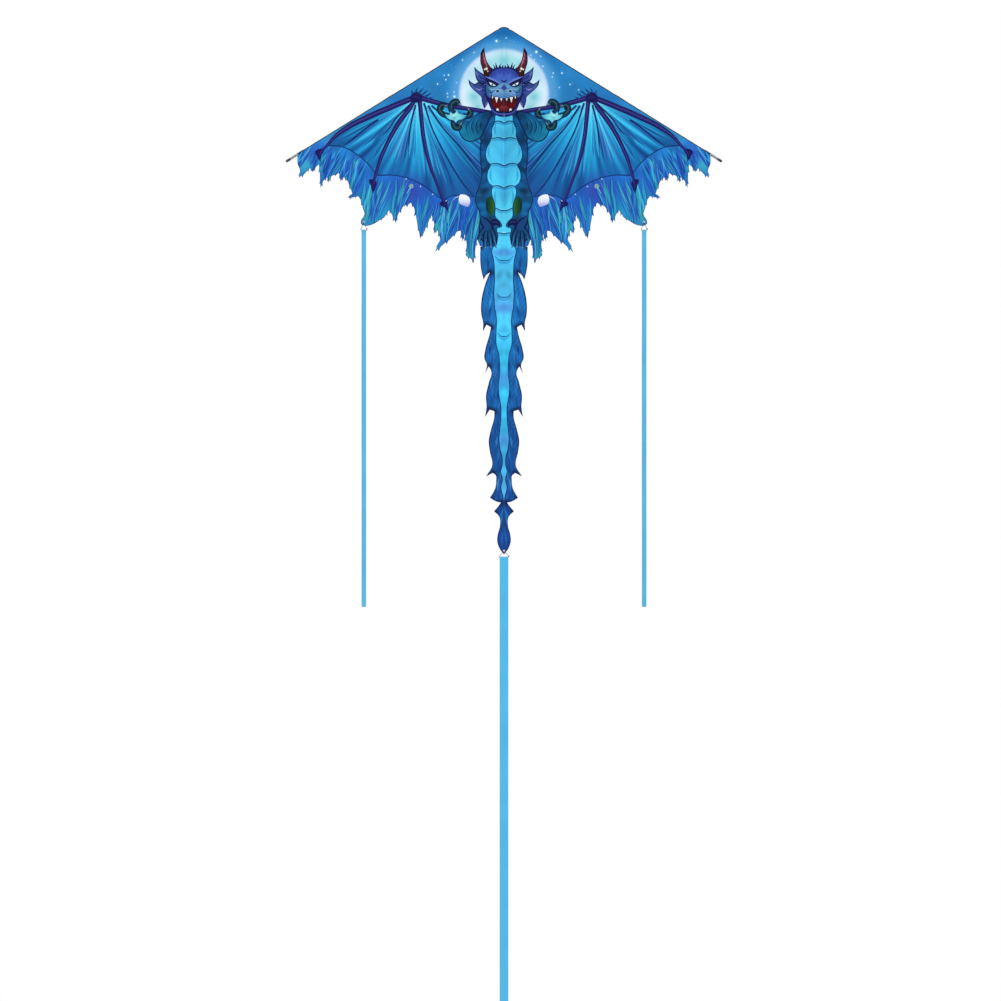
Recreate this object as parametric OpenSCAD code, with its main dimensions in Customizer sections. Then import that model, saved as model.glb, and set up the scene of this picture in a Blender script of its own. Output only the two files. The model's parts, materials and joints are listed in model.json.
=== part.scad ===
// Single-line delta kite with a dragon sail, a cloth dragon tail and three ribbon tails.
// It hangs upright: +X is the viewer's right, the printed front faces -Y, and the nose points to +Z.
// The origin is the centre of the tow eyelet, on the keel in front of the sail.
// Shapes are drawn about the nose, with the sail's front face at y = 0, and in_row_frame() moves them.

/* [Sail] */
// Half of the wing span, to the tip of a leading edge rod
half_span = 700; // [690:1:720]
// Slope of the leading edges below level, in degrees
edge_angle = 31.8; // [31:0.1:32.5]
// Radius of the rounded nose, at the middle of the edge binding
nose_r = 24; // [20:1:28]
// Thickness of the sail cloth
cloth_t = 0.5; // [0.4:0.05:0.6]
// Thickness of hems, patches and sleeves
hem_t = 0.5; // [0.4:0.05:0.6]
// Distance of the wing fold line from the middle of the kite
fold_x = 18; // [16:1:20]
// Height of the sail's lower hem, below the nose
hem_z = -707; // [-708:1:-706]

/* [Frame] */
// Diameter of every rod
rod_d = 4; // [3.6:0.1:4]
// Outside diameter of a cloth sleeve round a rod
sleeve_d = 6.2; // [6:0.1:6.4]
// Height of the spreader, below the nose
spreader_z = -230; // [-240:1:-220]
// Depth of the spreader's axis behind the sail's front
spreader_y = 10; // [9.8:0.1:11]
// Length of bare rod past the end of the lower sleeve
bare_tip = 44; // [40:1:50]

/* [Keel] */
// Distance of the tow eyelet in front of the sail
keel_reach = 105; // [90:1:120]
// Height of the tow eyelet, below the nose
tow_z = -300; // [-320:1:-280]
// Radius of the tow eyelet's bore
tow_bore_r = 2.5; // [2:0.1:3]

/* [Tails] */
// Height of the dragon tail's tip, below the nose
tail_tip_z = -1696; // [-1700:1:-1696]
// Distance of the side ribbons from the middle of the kite
side_ribbon_x = 450; // [448:1:451]
// Width of a side ribbon
side_ribbon_w = 15; // [12:1:16]
// Length of a side ribbon
side_ribbon_len = 1210; // [900:10:1300]
// Width of the centre ribbon
centre_ribbon_w = 28; // [20:1:30]
// Length of the centre ribbon
centre_ribbon_len = 1500; // [1400:10:2000]

/* [Hidden] */
$fn = 48;

// Colours of the materials.
sail_colour = [0.13, 0.55, 0.78];
tail_colour = [0.06, 0.30, 0.68];
keel_colour = [0.35, 0.75, 0.93];
ribbon_colour = [0.30, 0.72, 0.93];
hem_colour = [0.07, 0.09, 0.13];
rod_colour = [0.04, 0.04, 0.05];
fitting_colour = [0.10, 0.10, 0.11];
cap_colour = [0.06, 0.06, 0.06];
metal_colour = [0.75, 0.76, 0.78];
cord_colour = [0.12, 0.14, 0.20];

// Gaps between neighbours: at a fold line, between cloth layers, and round a rod in a fitting.
fold_gap = 0.4;
layer_gap = 0.3;
rod_gap = 0.05;

// Layers behind the sail's front, and the axes of the rods.
hem_y = cloth_t + layer_gap;
edge_y = 3;
spine_y = 4.2;

// Leading edge: its length from the nose, and places along it.
edge_len = half_span / cos(edge_angle);
sleeve_end = edge_len - bare_tip;
clip_s = -spreader_z / sin(edge_angle);
clip_x = clip_s * cos(edge_angle);
cutout = 46;
clip_len = 34;
ring_len = 4;
cap_d = 5.2;
cap_bore_r = rod_d / 2 + 0.02;
cloth_edge = 2.8;
seam_w = 14;
rod_start = 28;

// Spreader: where its ends stand in the edge clips.
cap_outer_r = 2.7;
spreader_end = clip_x - 3.5;

// Spine.
spine_top = -24;
spine_foot = -694;

// Grommets in the sail and the dragon tail, and the cord loops that the ribbons hang on.
grommet_bore_r = 1.8;
grommet_r = 3.6;
cord_r = 0.8;
bend_swell = 0.15;
tunnel_r = 1.5;
loop_front_y = -2;
side_eyelet = [side_ribbon_x, -628];
side_tunnel_z = -654;
tail_eyelet_z = tail_tip_z + 12;
tail_tunnel_z = tail_tip_z - 8;

// The flame-cut hem of the right wing, from the wing tip to the foot. Each row is one tongue.
flames = [
  [663, -440], [655, -466], [659, -487], [637, -470], [623, -455], [614, -468], [604, -452], [594, -444],
  [591, -484], [590, -519], [581, -497], [567, -484], [565, -503], [554, -481], [530, -471],
  [525, -497], [514, -484], [501, -499], [487, -537], [504, -551], [485, -549], [469, -545], [461, -556],
  [453, -585], [448, -606], [458, -621], [459, -634], [452, -639], [426, -637], [405, -626], [384, -613],
  [370, -590], [360, -604], [347, -633], [341, -606], [325, -580], [299, -566],
  [288, -585], [281, -620], [269, -681], [256, -660], [240, -622], [232, -606],
  [224, -636], [226, -665], [213, -655], [205, -685], [223, -726], [197, -702], [172, -682], [149, -658],
  [139, -656], [134, -692], [126, -665], [120, -702], [122, -736], [104, -748], [97, -762], [92, -716],
  [86, -684], [77, hem_z + 1]
];

// The right half of the dragon tail's outline, from its head to its tip. Each row is one fin.
tail_half = [
  [76, hem_z - 1], [76, -730], [76, -758], [71, -792], [65, -814], [57, -799], [45, -790],
  [53, -808], [63, -837], [73, -887], [73, -923], [67, -952], [68, -980], [56, -958], [42, -966],
  [46, -988], [60, -1038], [63, -1066], [55, -1086], [61, -1114], [49, -1092], [41, -1107],
  [49, -1145], [58, -1188], [56, -1222], [61, -1255], [46, -1231], [31, -1236],
  [31, -1252], [42, -1296], [49, -1331], [45, -1367], [38, -1410], [58, -1445], [36, -1434], [27, -1441],
  [25, -1460], [28, -1482], [45, -1514], [24, -1526], [10, -1529], [17, -1539], [32, -1557],
  [15, -1575], [13, -1604], [20, -1632], [22, -1650], [15, -1675]
];

// ---------- helpers ----------

module in_row_frame() translate([0, keel_reach, -tow_z]) children();

// Mirrors a part of the right side for the left side.
module on_side(left) {
  if (left) mirror([1, 0, 0]) children();
  else children();
}

// A flat piece with its outline in x and z, from y to y + thickness.
module flat(y, thickness) {
  translate([0, y + thickness, 0]) rotate([90, 0, 0]) linear_extrude(thickness) children();
}

// Turns a part drawn along +X at the nose to lie along the right leading edge.
module along_edge() rotate([0, edge_angle, 0]) children();

// A round bar along X.
module bar_x(from, to, r) translate([from, 0, 0]) rotate([0, 90, 0]) cylinder(h = to - from, r = r);

// A cross section in y and z, drawn out along X.
module section_x(from, to) {
  translate([from, 0, 0]) rotate([90, 0, 90]) linear_extrude(to - from) children();
}

function arc(r, from, to, n) = [for (i = [0 : n]) let (a = from + (to - from) * i / n) r * [sin(a), cos(a)]];
function moved(points, by) = [for (p = points) p + by];
function reversed(points) = [for (i = [len(points) - 1 : -1 : 0]) points[i]];
function mirrored(points) = [for (p = reversed(points)) [-p[0], p[1]]];

// Height of a line that runs beside the leading edge, inward by "inward".
function edge_line(x, inward) = -x * tan(edge_angle) - inward / cos(edge_angle);

// The two touching points of tangents from a point to a circle.
function tangent(point, centre, r, side) =
  let (d = point - centre, reach = acos(r / norm(d)), a = atan2(d[1], d[0]) + side * reach)
  centre + r * [cos(a), sin(a)];

// Sleeve section in y and z: a tube round the rod, with a seam flange on one or both sides.
module sleeve_section(y, flange_from, flange_to) {
  difference() {
    union() {
      translate([y, 0]) circle(d = sleeve_d);
      translate([hem_y, flange_from]) square([hem_t, flange_to - flange_from]);
    }
    translate([y, 0]) circle(d = sleeve_d - 2 * hem_t);
  }
}

// A vinyl cup on a rod's end, along X, with its closed end at x = 0.
module end_cup(length, r) {
  difference() {
    bar_x(0, length, r);
    bar_x(1.5, length + 1, cap_bore_r);
  }
}

// A round bar between two points.
module bar(a, b, r) {
  d = b - a;
  translate(a) rotate([0, acos(d[2] / norm(d)), atan2(d[1], d[0])]) cylinder(h = norm(d), r = r);
}

// A two-flange grommet, with its axis along Y and its front flange just before the cloth.
module grommet(depth, bore_r, flange_r) {
  rotate([90, 0, 0]) rotate_extrude()
    polygon([
      [bore_r, 0.6], [flange_r, 0.6], [flange_r, 0.1], [bore_r + 0.3, 0.1],
      [bore_r + 0.3, -depth - 0.1], [flange_r, -depth - 0.1], [flange_r, -depth - 0.6], [bore_r, -depth - 0.6]
    ]);
}

// A loop of cord: through a grommet at top_z, down both faces, and through a ribbon's tunnel.
module cord_loop(top_z, front_y, back_y, bottom_z, width) {
  half = width / 2 + 3;
  corners = [
    [0, front_y, top_z], [-half, cloth_t / 2, bottom_z],
    [half, cloth_t / 2, bottom_z], [0, back_y, top_z]
  ];
  for (i = [0 : 3]) {
    translate(corners[i]) sphere(r = cord_r + bend_swell);
    bar(corners[i], corners[(i + 1) % 4], cord_r);
  }
}

// ---------- centre of the kite ----------

module spine_rod() color(rod_colour)
  translate([0, spine_y, spine_foot]) cylinder(h = spine_top - spine_foot, d = rod_d);

module spine_caps() color(cap_colour) {
  translate([0, spine_y, spine_top + 1.6]) rotate([0, 90, 0]) end_cup(12, cap_d / 2);
  translate([0, spine_y, spine_foot - 1.6]) rotate([0, -90, 0]) end_cup(12, cap_d / 2);
}

module spine_sleeve(from_z, to_z) color(hem_colour)
  translate([0, 0, from_z]) rotate([0, -90, 0])
    section_x(0, to_z - from_z) sleeve_section(spine_y, -10, 10);

module spine_sleeve_upper() spine_sleeve(spreader_z + 13, spine_top - 16);
module spine_sleeve_lower() spine_sleeve(spine_foot + 16, spreader_z - 13);

module centre_panel() {
  edge = fold_x - fold_gap;
  top = moved(arc(nose_r - 3.6, -edge_angle, edge_angle, 10), [0, -nose_r / cos(edge_angle)]);
  color(sail_colour) flat(0, cloth_t)
    polygon(concat(
      [[-edge, hem_z + 1], [-edge, edge_line(edge, 3.6)]], top,
      [[edge, edge_line(edge, 3.6)], [edge, hem_z + 1]]
    ));
}

module nose_binding() {
  edge = fold_x - fold_gap;
  half = sleeve_d / 2;
  centre = [0, -nose_r / cos(edge_angle)];
  outer = concat(
    [[-edge, edge_line(edge, -half)]],
    moved(arc(nose_r + half, -edge_angle, edge_angle, 14), centre),
    [[edge, edge_line(edge, -half)]]
  );
  inner = concat(
    [[-edge, edge_line(edge, half)]],
    moved(arc(nose_r - half, -edge_angle, edge_angle, 14), centre),
    [[edge, edge_line(edge, half)]]
  );
  color(hem_colour) flat(-0.1, 4) polygon(concat(outer, reversed(inner)));
}

// A cloth pocket over the end of the spine: its closed end is at z = 0, and it opens downwards.
module rod_pocket(length) color(hem_colour) difference() {
  translate([-8, hem_y, -length]) cube([16, 7.6, length]);
  translate([-7.4, hem_y + hem_t, -length - 1]) cube([14.8, 6.6, length + 0.4]);
}

module nose_pocket() translate([0, 0, spine_top + 2.6]) rod_pocket(16);
module foot_pocket() translate([0, 0, spine_foot - 2.6]) mirror([0, 0, 1]) rod_pocket(16);

module tail_seam_tape() color(hem_colour)
  translate([-16, hem_y, hem_z + 1.5]) cube([32, hem_t, 6]);

// Clip on the spine: a tube that grips the rod, and a trough for the spreader that opens backwards.
module centre_clip() color(fitting_colour)
  translate([0, 0, spreader_z]) difference() {
    union() {
      translate([0, spine_y, -9]) cylinder(h = 18, r = 3.5);
      translate([-9, spine_y + 1, -4]) cube([18, spreader_y + 2.6 - spine_y - 1, 8]);
    }
    translate([0, spine_y, -10]) cylinder(h = 20, r = rod_d / 2 + rod_gap);
    translate([0, spreader_y, 0]) trough(-10, 10, rod_d / 2 + rod_gap);
  }

// The space that a trough leaves: round at its bottom, and open towards +Y.
module trough(from, to, r) {
  bar_x(from, to, r);
  translate([from, 0, -r]) cube([to - from, 10, 2 * r]);
}

// ---------- keel ----------

keel_top = [-1, tow_z + 130];
keel_foot = [-1, tow_z - 290];
keel_nose = [-keel_reach, tow_z];
keel_nose_r = 13;
keel_cloth_t = 0.6;

function keel_outline() =
  let (
    a = tangent(keel_top, keel_nose, keel_nose_r, 1) - keel_nose,
    b = tangent(keel_foot, keel_nose, keel_nose_r, -1) - keel_nose,
    from = atan2(a[1], a[0]),
    to = atan2(b[1], b[0]) + 360
  )
  concat([keel_foot, keel_top], [for (i = [0 : 12]) let (t = from + (to - from) * i / 12)
    keel_nose + keel_nose_r * [cos(t), sin(t)]]);

module keel_panel() color(keel_colour)
  section_x(-keel_cloth_t / 2, keel_cloth_t / 2) difference() {
    polygon(keel_outline());
    translate(keel_nose) circle(r = tow_bore_r + 0.5);
  }

module keel_patches() color(hem_colour)
  for (side = [-1, 1])
    translate([side * (keel_cloth_t / 2 + 0.4) - 0.2, 0, 0]) section_x(0, 0.4) difference() {
      translate(keel_nose) circle(r = keel_nose_r - 0.5);
      translate(keel_nose) circle(r = tow_bore_r + 0.5);
    }

module keel_eyelet() color(metal_colour)
  translate([0, keel_nose[0], keel_nose[1]]) rotate([0, 90, 0]) rotate_extrude()
    polygon([
      [tow_bore_r, -1.5], [6, -1.5], [6, -1], [tow_bore_r + 0.4, -1],
      [tow_bore_r + 0.4, 1], [6, 1], [6, 1.5], [tow_bore_r, 1.5]
    ]);

// ---------- spreader ----------

module spreader_rod() color(rod_colour)
  translate([0, spreader_y, spreader_z]) bar_x(-spreader_end + 1.6, spreader_end - 1.6, rod_d / 2);

module spreader_caps() color(cap_colour)
  for (side = [0, 1]) mirror([side, 0, 0])
    translate([spreader_end, spreader_y, spreader_z]) rotate([0, 180, 0]) end_cup(14, cap_outer_r);

// ---------- wings, drawn for the right side ----------

module wing_panel(left) {
  inner = fold_x + fold_gap;
  color(sail_colour) on_side(left) flat(0, cloth_t) difference() {
    polygon(concat(
      [[inner, hem_z + 1], [inner, edge_line(inner, cloth_edge)], [663, edge_line(663, cloth_edge)]], flames
    ));
    translate(side_eyelet) circle(r = grommet_bore_r + 0.4);
  }
}

module edge_rod(left) color(rod_colour) on_side(left) along_edge()
  translate([0, edge_y, 0]) bar_x(rod_start, edge_len - 3.6, rod_d / 2);

module upper_cap(left) color(cap_colour) on_side(left) along_edge()
  translate([rod_start - 1.6, edge_y, 0]) end_cup(11, cap_d / 2);

// Cap on the rod's tip, with a slot for the cord loop across its end.
module tip_nock(left) color(cap_colour) on_side(left) along_edge()
  translate([edge_len, edge_y, 0]) difference() {
    bar_x(-16, 0, 3);
    bar_x(-17, -3.5, cap_bore_r);
    translate([-2.8, -0.8, -4]) cube([4, 1.6, 8]);
  }

module edge_sleeve(from, to) color(hem_colour) intersection() {
  along_edge() section_x(from, to) sleeve_section(edge_y, -seam_w, 0);
  translate([fold_x + fold_gap, -10, -half_span]) cube([half_span, 30, half_span + 20]);
}

module sleeve_upper(left) on_side(left) edge_sleeve(12, clip_s - cutout / 2);
module sleeve_lower(left) on_side(left) edge_sleeve(clip_s + cutout / 2, sleeve_end);

// Clip on the leading edge: a tube that grips the rod, and a blind trough for the spreader's end.
module edge_clip(left) color(fitting_colour) on_side(left) difference() {
  union() {
    along_edge() translate([clip_s, edge_y, 0]) bar_x(-clip_len / 2, clip_len / 2, 3.5);
    translate([clip_x - 18, edge_y + 1.5, spreader_z - 5.5]) cube([19, 3, 11]);
    translate([clip_x - 26, 5.6, spreader_z - 4.3]) cube([24.6, spreader_y - 2.8, 8.6]);
  }
  along_edge() translate([clip_s, edge_y, 0]) bar_x(-clip_len, clip_len, rod_d / 2 + rod_gap);
  translate([0, spreader_y, spreader_z]) trough(clip_x - 27, spreader_end + 0.2, cap_outer_r + rod_gap);
}

module stop_rings(left) color(cap_colour) on_side(left) along_edge()
  for (start = [clip_s - clip_len / 2 - ring_len - 0.5, clip_s + clip_len / 2 + 0.5])
    translate([0, edge_y, 0]) difference() {
      bar_x(start, start + ring_len, 3.3);
      bar_x(start - 1, start + ring_len + 1, rod_d / 2 + 0.02);
    }

// Cord that pulls the lower sleeve towards the nock: two strands and the bight in the slot.
module tip_loop(left) {
  loop_r = 0.6;
  strand = 3.8;
  bight = edge_len - 1.6;
  color(cord_colour) on_side(left) along_edge() translate([0, edge_y, 0]) {
    for (side = [-1, 1]) {
      translate([0, 0, side * strand]) bar_x(sleeve_end - 22, bight, loop_r);
      translate([bight, 0, side * strand]) sphere(r = loop_r);
    }
    translate([bight, 0, -strand]) cylinder(h = 2 * strand, r = loop_r);
  }
}

module tail_patch(left) color(hem_colour) on_side(left) flat(hem_y, hem_t) difference() {
  polygon([[446, -598], [455, -622], [457, -633], [451, -637], [436, -635], [430, -620]]);
  translate(side_eyelet) circle(r = grommet_bore_r + 0.4);
}

module wing_eyelet(left) color(metal_colour) on_side(left)
  translate([side_eyelet[0], 0, side_eyelet[1]]) grommet(hem_y + hem_t, grommet_bore_r, grommet_r);

module wing_loop(left) color(cord_colour) on_side(left) translate([side_eyelet[0], 0, 0])
  cord_loop(side_eyelet[1], loop_front_y, hem_y + hem_t - loop_front_y, side_tunnel_z, side_ribbon_w);

// ---------- ribbons and dragon tail ----------

// A ribbon whose top edge is folded into a tunnel round a cord, with the tunnel's axis at z = 0.
module ribbon(width, length) color(ribbon_colour) section_x(-width / 2, width / 2) difference() {
  union() {
    translate([cloth_t / 2, 0]) circle(r = tunnel_r);
    translate([0, -length]) square([cloth_t, length]);
  }
  translate([cloth_t / 2, 0]) circle(r = cord_r + rod_gap);
}

module side_ribbon(left) on_side(left)
  translate([side_ribbon_x, 0, side_tunnel_z]) ribbon(side_ribbon_w, side_ribbon_len);

module centre_ribbon() translate([0, 0, tail_tunnel_z]) ribbon(centre_ribbon_w, centre_ribbon_len);

module dragon_tail() color(tail_colour) flat(0, cloth_t) difference() {
  polygon(concat(tail_half, [[0, tail_tip_z]], mirrored(tail_half)));
  translate([0, tail_eyelet_z]) circle(r = grommet_bore_r + 0.4);
}

module tail_eyelet() color(metal_colour)
  translate([0, 0, tail_eyelet_z]) grommet(cloth_t, grommet_bore_r, grommet_r);

module tail_loop() color(cord_colour)
  cord_loop(tail_eyelet_z, loop_front_y, cloth_t - loop_front_y, tail_tunnel_z, centre_ribbon_w);

// ---------- nodes ----------

in_row_frame() {
  spine_rod();
  spine_caps();
  spine_sleeve_upper();
  spine_sleeve_lower();
  centre_panel();
  nose_binding();
  nose_pocket();
  foot_pocket();
  tail_seam_tape();
  centre_clip();
  keel_panel();
  keel_patches();
  keel_eyelet();
  spreader_rod();
  spreader_caps();
  wing_panel(true);  // left_panel
  edge_rod(true);  // left_edge_rod
  upper_cap(true);  // left_upper_cap
  tip_nock(true);  // left_tip_nock
  sleeve_upper(true);  // left_sleeve_upper
  sleeve_lower(true);  // left_sleeve_lower
  edge_clip(true);  // left_edge_clip
  stop_rings(true);  // left_stop_rings
  tip_loop(true);  // left_tip_loop
  tail_patch(true);  // left_tail_patch
  wing_eyelet(true);  // left_tail_eyelet
  wing_loop(true);  // left_tail_loop
  wing_panel(false);  // right_panel
  edge_rod(false);  // right_edge_rod
  upper_cap(false);  // right_upper_cap
  tip_nock(false);  // right_tip_nock
  sleeve_upper(false);  // right_sleeve_upper
  sleeve_lower(false);  // right_sleeve_lower
  edge_clip(false);  // right_edge_clip
  stop_rings(false);  // right_stop_rings
  tip_loop(false);  // right_tip_loop
  tail_patch(false);  // right_tail_patch
  wing_eyelet(false);  // right_tail_eyelet
  wing_loop(false);  // right_tail_loop
  side_ribbon(true);  // left_ribbon
  side_ribbon(false);  // right_ribbon
  dragon_tail();
  tail_eyelet();
  tail_loop();
  centre_ribbon();
}
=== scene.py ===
import json
import math
from collections import namedtuple

import bpy
import numpy as np
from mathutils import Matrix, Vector
from mathutils.geometry import delaunay_2d_cdt

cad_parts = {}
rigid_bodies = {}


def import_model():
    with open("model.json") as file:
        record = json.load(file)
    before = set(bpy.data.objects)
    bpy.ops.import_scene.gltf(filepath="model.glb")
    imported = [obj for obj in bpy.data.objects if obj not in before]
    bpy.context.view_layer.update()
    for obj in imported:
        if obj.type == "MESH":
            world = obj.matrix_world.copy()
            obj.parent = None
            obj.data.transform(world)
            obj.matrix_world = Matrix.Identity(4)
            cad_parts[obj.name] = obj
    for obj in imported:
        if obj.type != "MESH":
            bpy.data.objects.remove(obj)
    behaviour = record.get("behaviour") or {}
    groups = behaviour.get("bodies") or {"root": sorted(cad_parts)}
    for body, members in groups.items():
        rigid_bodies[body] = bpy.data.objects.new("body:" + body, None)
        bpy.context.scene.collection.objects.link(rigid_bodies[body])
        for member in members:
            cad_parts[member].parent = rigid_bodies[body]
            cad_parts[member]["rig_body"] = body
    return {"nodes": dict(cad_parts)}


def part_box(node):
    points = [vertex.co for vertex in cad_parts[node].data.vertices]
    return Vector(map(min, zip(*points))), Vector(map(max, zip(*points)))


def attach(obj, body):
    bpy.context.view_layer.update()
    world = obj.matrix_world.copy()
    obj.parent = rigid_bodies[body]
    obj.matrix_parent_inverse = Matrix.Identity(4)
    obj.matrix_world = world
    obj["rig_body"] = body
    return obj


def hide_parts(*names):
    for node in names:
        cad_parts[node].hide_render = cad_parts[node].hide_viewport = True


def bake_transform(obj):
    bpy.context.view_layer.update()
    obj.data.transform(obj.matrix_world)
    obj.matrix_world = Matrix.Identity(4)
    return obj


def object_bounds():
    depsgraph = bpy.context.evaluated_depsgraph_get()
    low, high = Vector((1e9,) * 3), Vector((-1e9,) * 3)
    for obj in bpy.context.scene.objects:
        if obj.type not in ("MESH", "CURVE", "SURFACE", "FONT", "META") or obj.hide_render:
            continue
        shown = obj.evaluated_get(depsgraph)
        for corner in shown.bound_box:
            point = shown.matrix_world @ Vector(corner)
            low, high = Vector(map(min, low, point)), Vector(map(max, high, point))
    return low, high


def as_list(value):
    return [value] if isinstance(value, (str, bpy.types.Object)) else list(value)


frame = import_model()
cad_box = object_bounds()

# The kite hangs upright: +X is the viewer's right, +Z is up, and the print faces -Y. Shapes are worked
# out in millimetres about the nose, where the two leading edges' lines meet: x from the middle of the
# kite, y behind the sail's front face, and z above the nose. placed() moves them into the frame.
MM = 0.001
NODES = frame["nodes"]
NOSE_ABOVE_SPINE = 24
EDGE_SLOPE = math.radians(31.8)

sail_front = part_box("right_panel")[0].y / MM
nose_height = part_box("spine_rod")[1].z / MM + NOSE_ABOVE_SPINE
origin = np.array([0.0, sail_front, nose_height])


def node_box(node):
    """The lowest and highest corner of a CAD node, in millimetres about the nose."""
    low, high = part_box(node)
    return np.array(low) / MM - origin, np.array(high) / MM - origin


def placed(points):
    """Points in millimetres about the nose, as metres in the frame."""
    return (np.asarray(points, float) + origin) * MM


# ---------- camera, light and floor ----------

# The view is square on and far away, with the whole kite and all but the last of its tail in it.
VIEW_WIDTH = 3214
VIEW_CENTRE = (-11.2, -1522.4)
LENS = 100
SENSOR = 36
SKY_STRENGTH = 1.0

# How far the floor lies below the CAD's lowest point in millimetres, and its radius in metres.
FLOOR_DROP = 490
FLOOR_RADIUS = 2.7


def make_camera():
    """A camera level with the middle of the view, straight in front of the kite."""
    data = bpy.data.cameras.new("camera")
    data.lens = LENS
    data.sensor_width = SENSOR
    data.clip_end = 100
    camera = bpy.data.objects.new("camera", data)
    bpy.context.scene.collection.objects.link(camera)
    away = VIEW_WIDTH * LENS / SENSOR
    camera.location = placed([VIEW_CENTRE[0], -away, VIEW_CENTRE[1]])
    camera.rotation_euler = (math.radians(90), 0, 0)
    bpy.context.scene.camera = camera


def make_light(name, place, target, size, power):
    """A square area light: its place, target and size in metres, and its power in watts."""
    data = bpy.data.lights.new(name, "AREA")
    data.size = size
    data.energy = power
    light = bpy.data.objects.new(name, data)
    bpy.context.scene.collection.objects.link(light)
    light.location = place
    light.rotation_euler = (Vector(target) - Vector(place)).to_track_quat("-Z", "Y").to_euler()


def make_studio():
    """A white sky and two soft lights, one in front and one behind."""
    world = bpy.data.worlds.new("studio")
    world.use_nodes = True
    world.node_tree.nodes["Background"].inputs["Color"].default_value = (1, 1, 1, 1)
    world.node_tree.nodes["Background"].inputs["Strength"].default_value = SKY_STRENGTH
    bpy.context.scene.world = world
    bpy.context.scene.view_settings.view_transform = "Standard"
    make_light("key", (-3.2, -4.5, 2.4), (0, 0.1, -0.2), 2.4, 46)
    make_light("back", (2.6, 4.2, 1.6), (0, 0.1, -0.3), 2.0, 30)


make_camera()
make_studio()


# ---------- outlines ----------

def curve(points, closed=True, step=5.0):
    """A smooth line through the points. A third number of 1 makes a point a sharp corner."""
    spots = np.array([p[:2] for p in points], float)
    sharp = [len(p) > 2 for p in points]
    count = len(spots)
    line = []
    for i in range(count if closed else count - 1):
        a, b = spots[i], spots[(i + 1) % count]
        length = np.linalg.norm(b - a)
        start = end = b - a
        if not sharp[i] and (closed or i > 0):
            start = bend_direction(spots[i - 1], a, b) * length
        if not sharp[(i + 1) % count] and (closed or i < count - 2):
            end = bend_direction(a, b, spots[(i + 2) % count]) * length
        pieces = max(1, math.ceil(length / step))
        t = np.linspace(0, 1, pieces, endpoint=False)[:, None]
        line.append((2 * t**3 - 3 * t**2 + 1) * a + (t**3 - 2 * t**2 + t) * start
                    + (3 * t**2 - 2 * t**3) * b + (t**3 - t**2) * end)
    if not closed:
        line.append(spots[-1:])
    return np.concatenate(line)


def bend_direction(before, here, after):
    """The direction of a smooth line through "here", leaning to the nearer neighbour's side."""
    back, ahead = here - before, after - here
    back_length, ahead_length = np.linalg.norm(back), np.linalg.norm(ahead)
    direction = back / back_length**1.5 * ahead_length**0.5 + ahead / ahead_length**1.5 * back_length**0.5
    size = np.linalg.norm(direction)
    return direction / size if size > 1e-9 else ahead / ahead_length


def normals(line):
    """Unit vectors to the left of a line at each of its points."""
    along = np.gradient(line, axis=0)
    along /= np.maximum(np.linalg.norm(along, axis=1, keepdims=True), 1e-9)
    return np.stack([-along[:, 1], along[:, 0]], axis=1)


def distance_along(line):
    """How far each point of a line is along it."""
    return np.r_[0, np.cumsum(np.linalg.norm(np.diff(line, axis=0), axis=1))]


def stroke(points, widths, step=5.0):
    """A brush stroke: a smooth line with a width at each of its points, as a closed outline."""
    line = curve(points, False, step)
    reach = distance_along(line)
    spots = np.array([p[:2] for p in points], float)
    marks = [reach[np.argmin(((line - p) ** 2).sum(1))] for p in spots]
    half = np.interp(reach, marks, widths)[:, None] / 2
    side = normals(line) * half
    return np.concatenate([line + side, (line - side)[::-1]])


def disc(x, depth, radius, squeeze=1.0, count=14):
    """A circle, or an oval whose height is "squeeze" times its width."""
    turn = np.linspace(0, 2 * math.pi, count, endpoint=False)
    return np.stack([x + radius * np.cos(turn), depth + radius * squeeze * np.sin(turn)], axis=1)


def inside(points, outline):
    """Which points an outline winds round."""
    found = np.zeros(len(points), int)
    low, high = outline.min(0), outline.max(0)
    near = np.nonzero(((points >= low) & (points <= high)).all(1))[0]
    if not len(near):
        return found > 0
    x, y = points[near, 0], points[near, 1]
    turns = np.zeros(len(near), int)
    for (ax, ay), (bx, by) in zip(outline, np.roll(outline, -1, axis=0)):
        side = (bx - ax) * (y - ay) - (x - ax) * (by - ay)
        turns += ((ay <= y) & (by > y) & (side > 0)).astype(int)
        turns -= ((by <= y) & (ay > y) & (side < 0)).astype(int)
    found[near] = turns
    return found != 0


def rim(node, axes):
    """The outer edge of a flat CAD node's front face, as points along two of the three axes."""
    mesh = NODES[node].data
    normal_axis = ({0, 1, 2} - set(axes)).pop()
    keys, spots, used = {}, [], {}
    for face in mesh.polygons:
        if face.normal[normal_axis] > -0.9:
            continue
        corners = []
        for v in face.vertices:
            place = (np.array(mesh.vertices[v].co) / MM - origin)[list(axes)]
            key = tuple(np.round(place, 2))
            if key not in keys:
                keys[key] = len(spots)
                spots.append(place)
            corners.append(keys[key])
        for a, b in zip(corners, corners[1:] + corners[:1]):
            used[frozenset((a, b))] = used.get(frozenset((a, b)), 0) + 1
    neighbours = {}
    for pair in (p for p, times in used.items() if times == 1):
        a, b = tuple(pair)
        neighbours.setdefault(a, []).append(b)
        neighbours.setdefault(b, []).append(a)
    loops, left = [], set(neighbours)
    while left:
        here = min(left)
        loop = []
        while here is not None:
            loop.append(here)
            left.discard(here)
            here = next((n for n in neighbours[here] if n in left), None)
        loops.append(np.array([spots[i] for i in loop]))
    return max(loops, key=lambda points: np.ptp(points, axis=0).prod())


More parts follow.
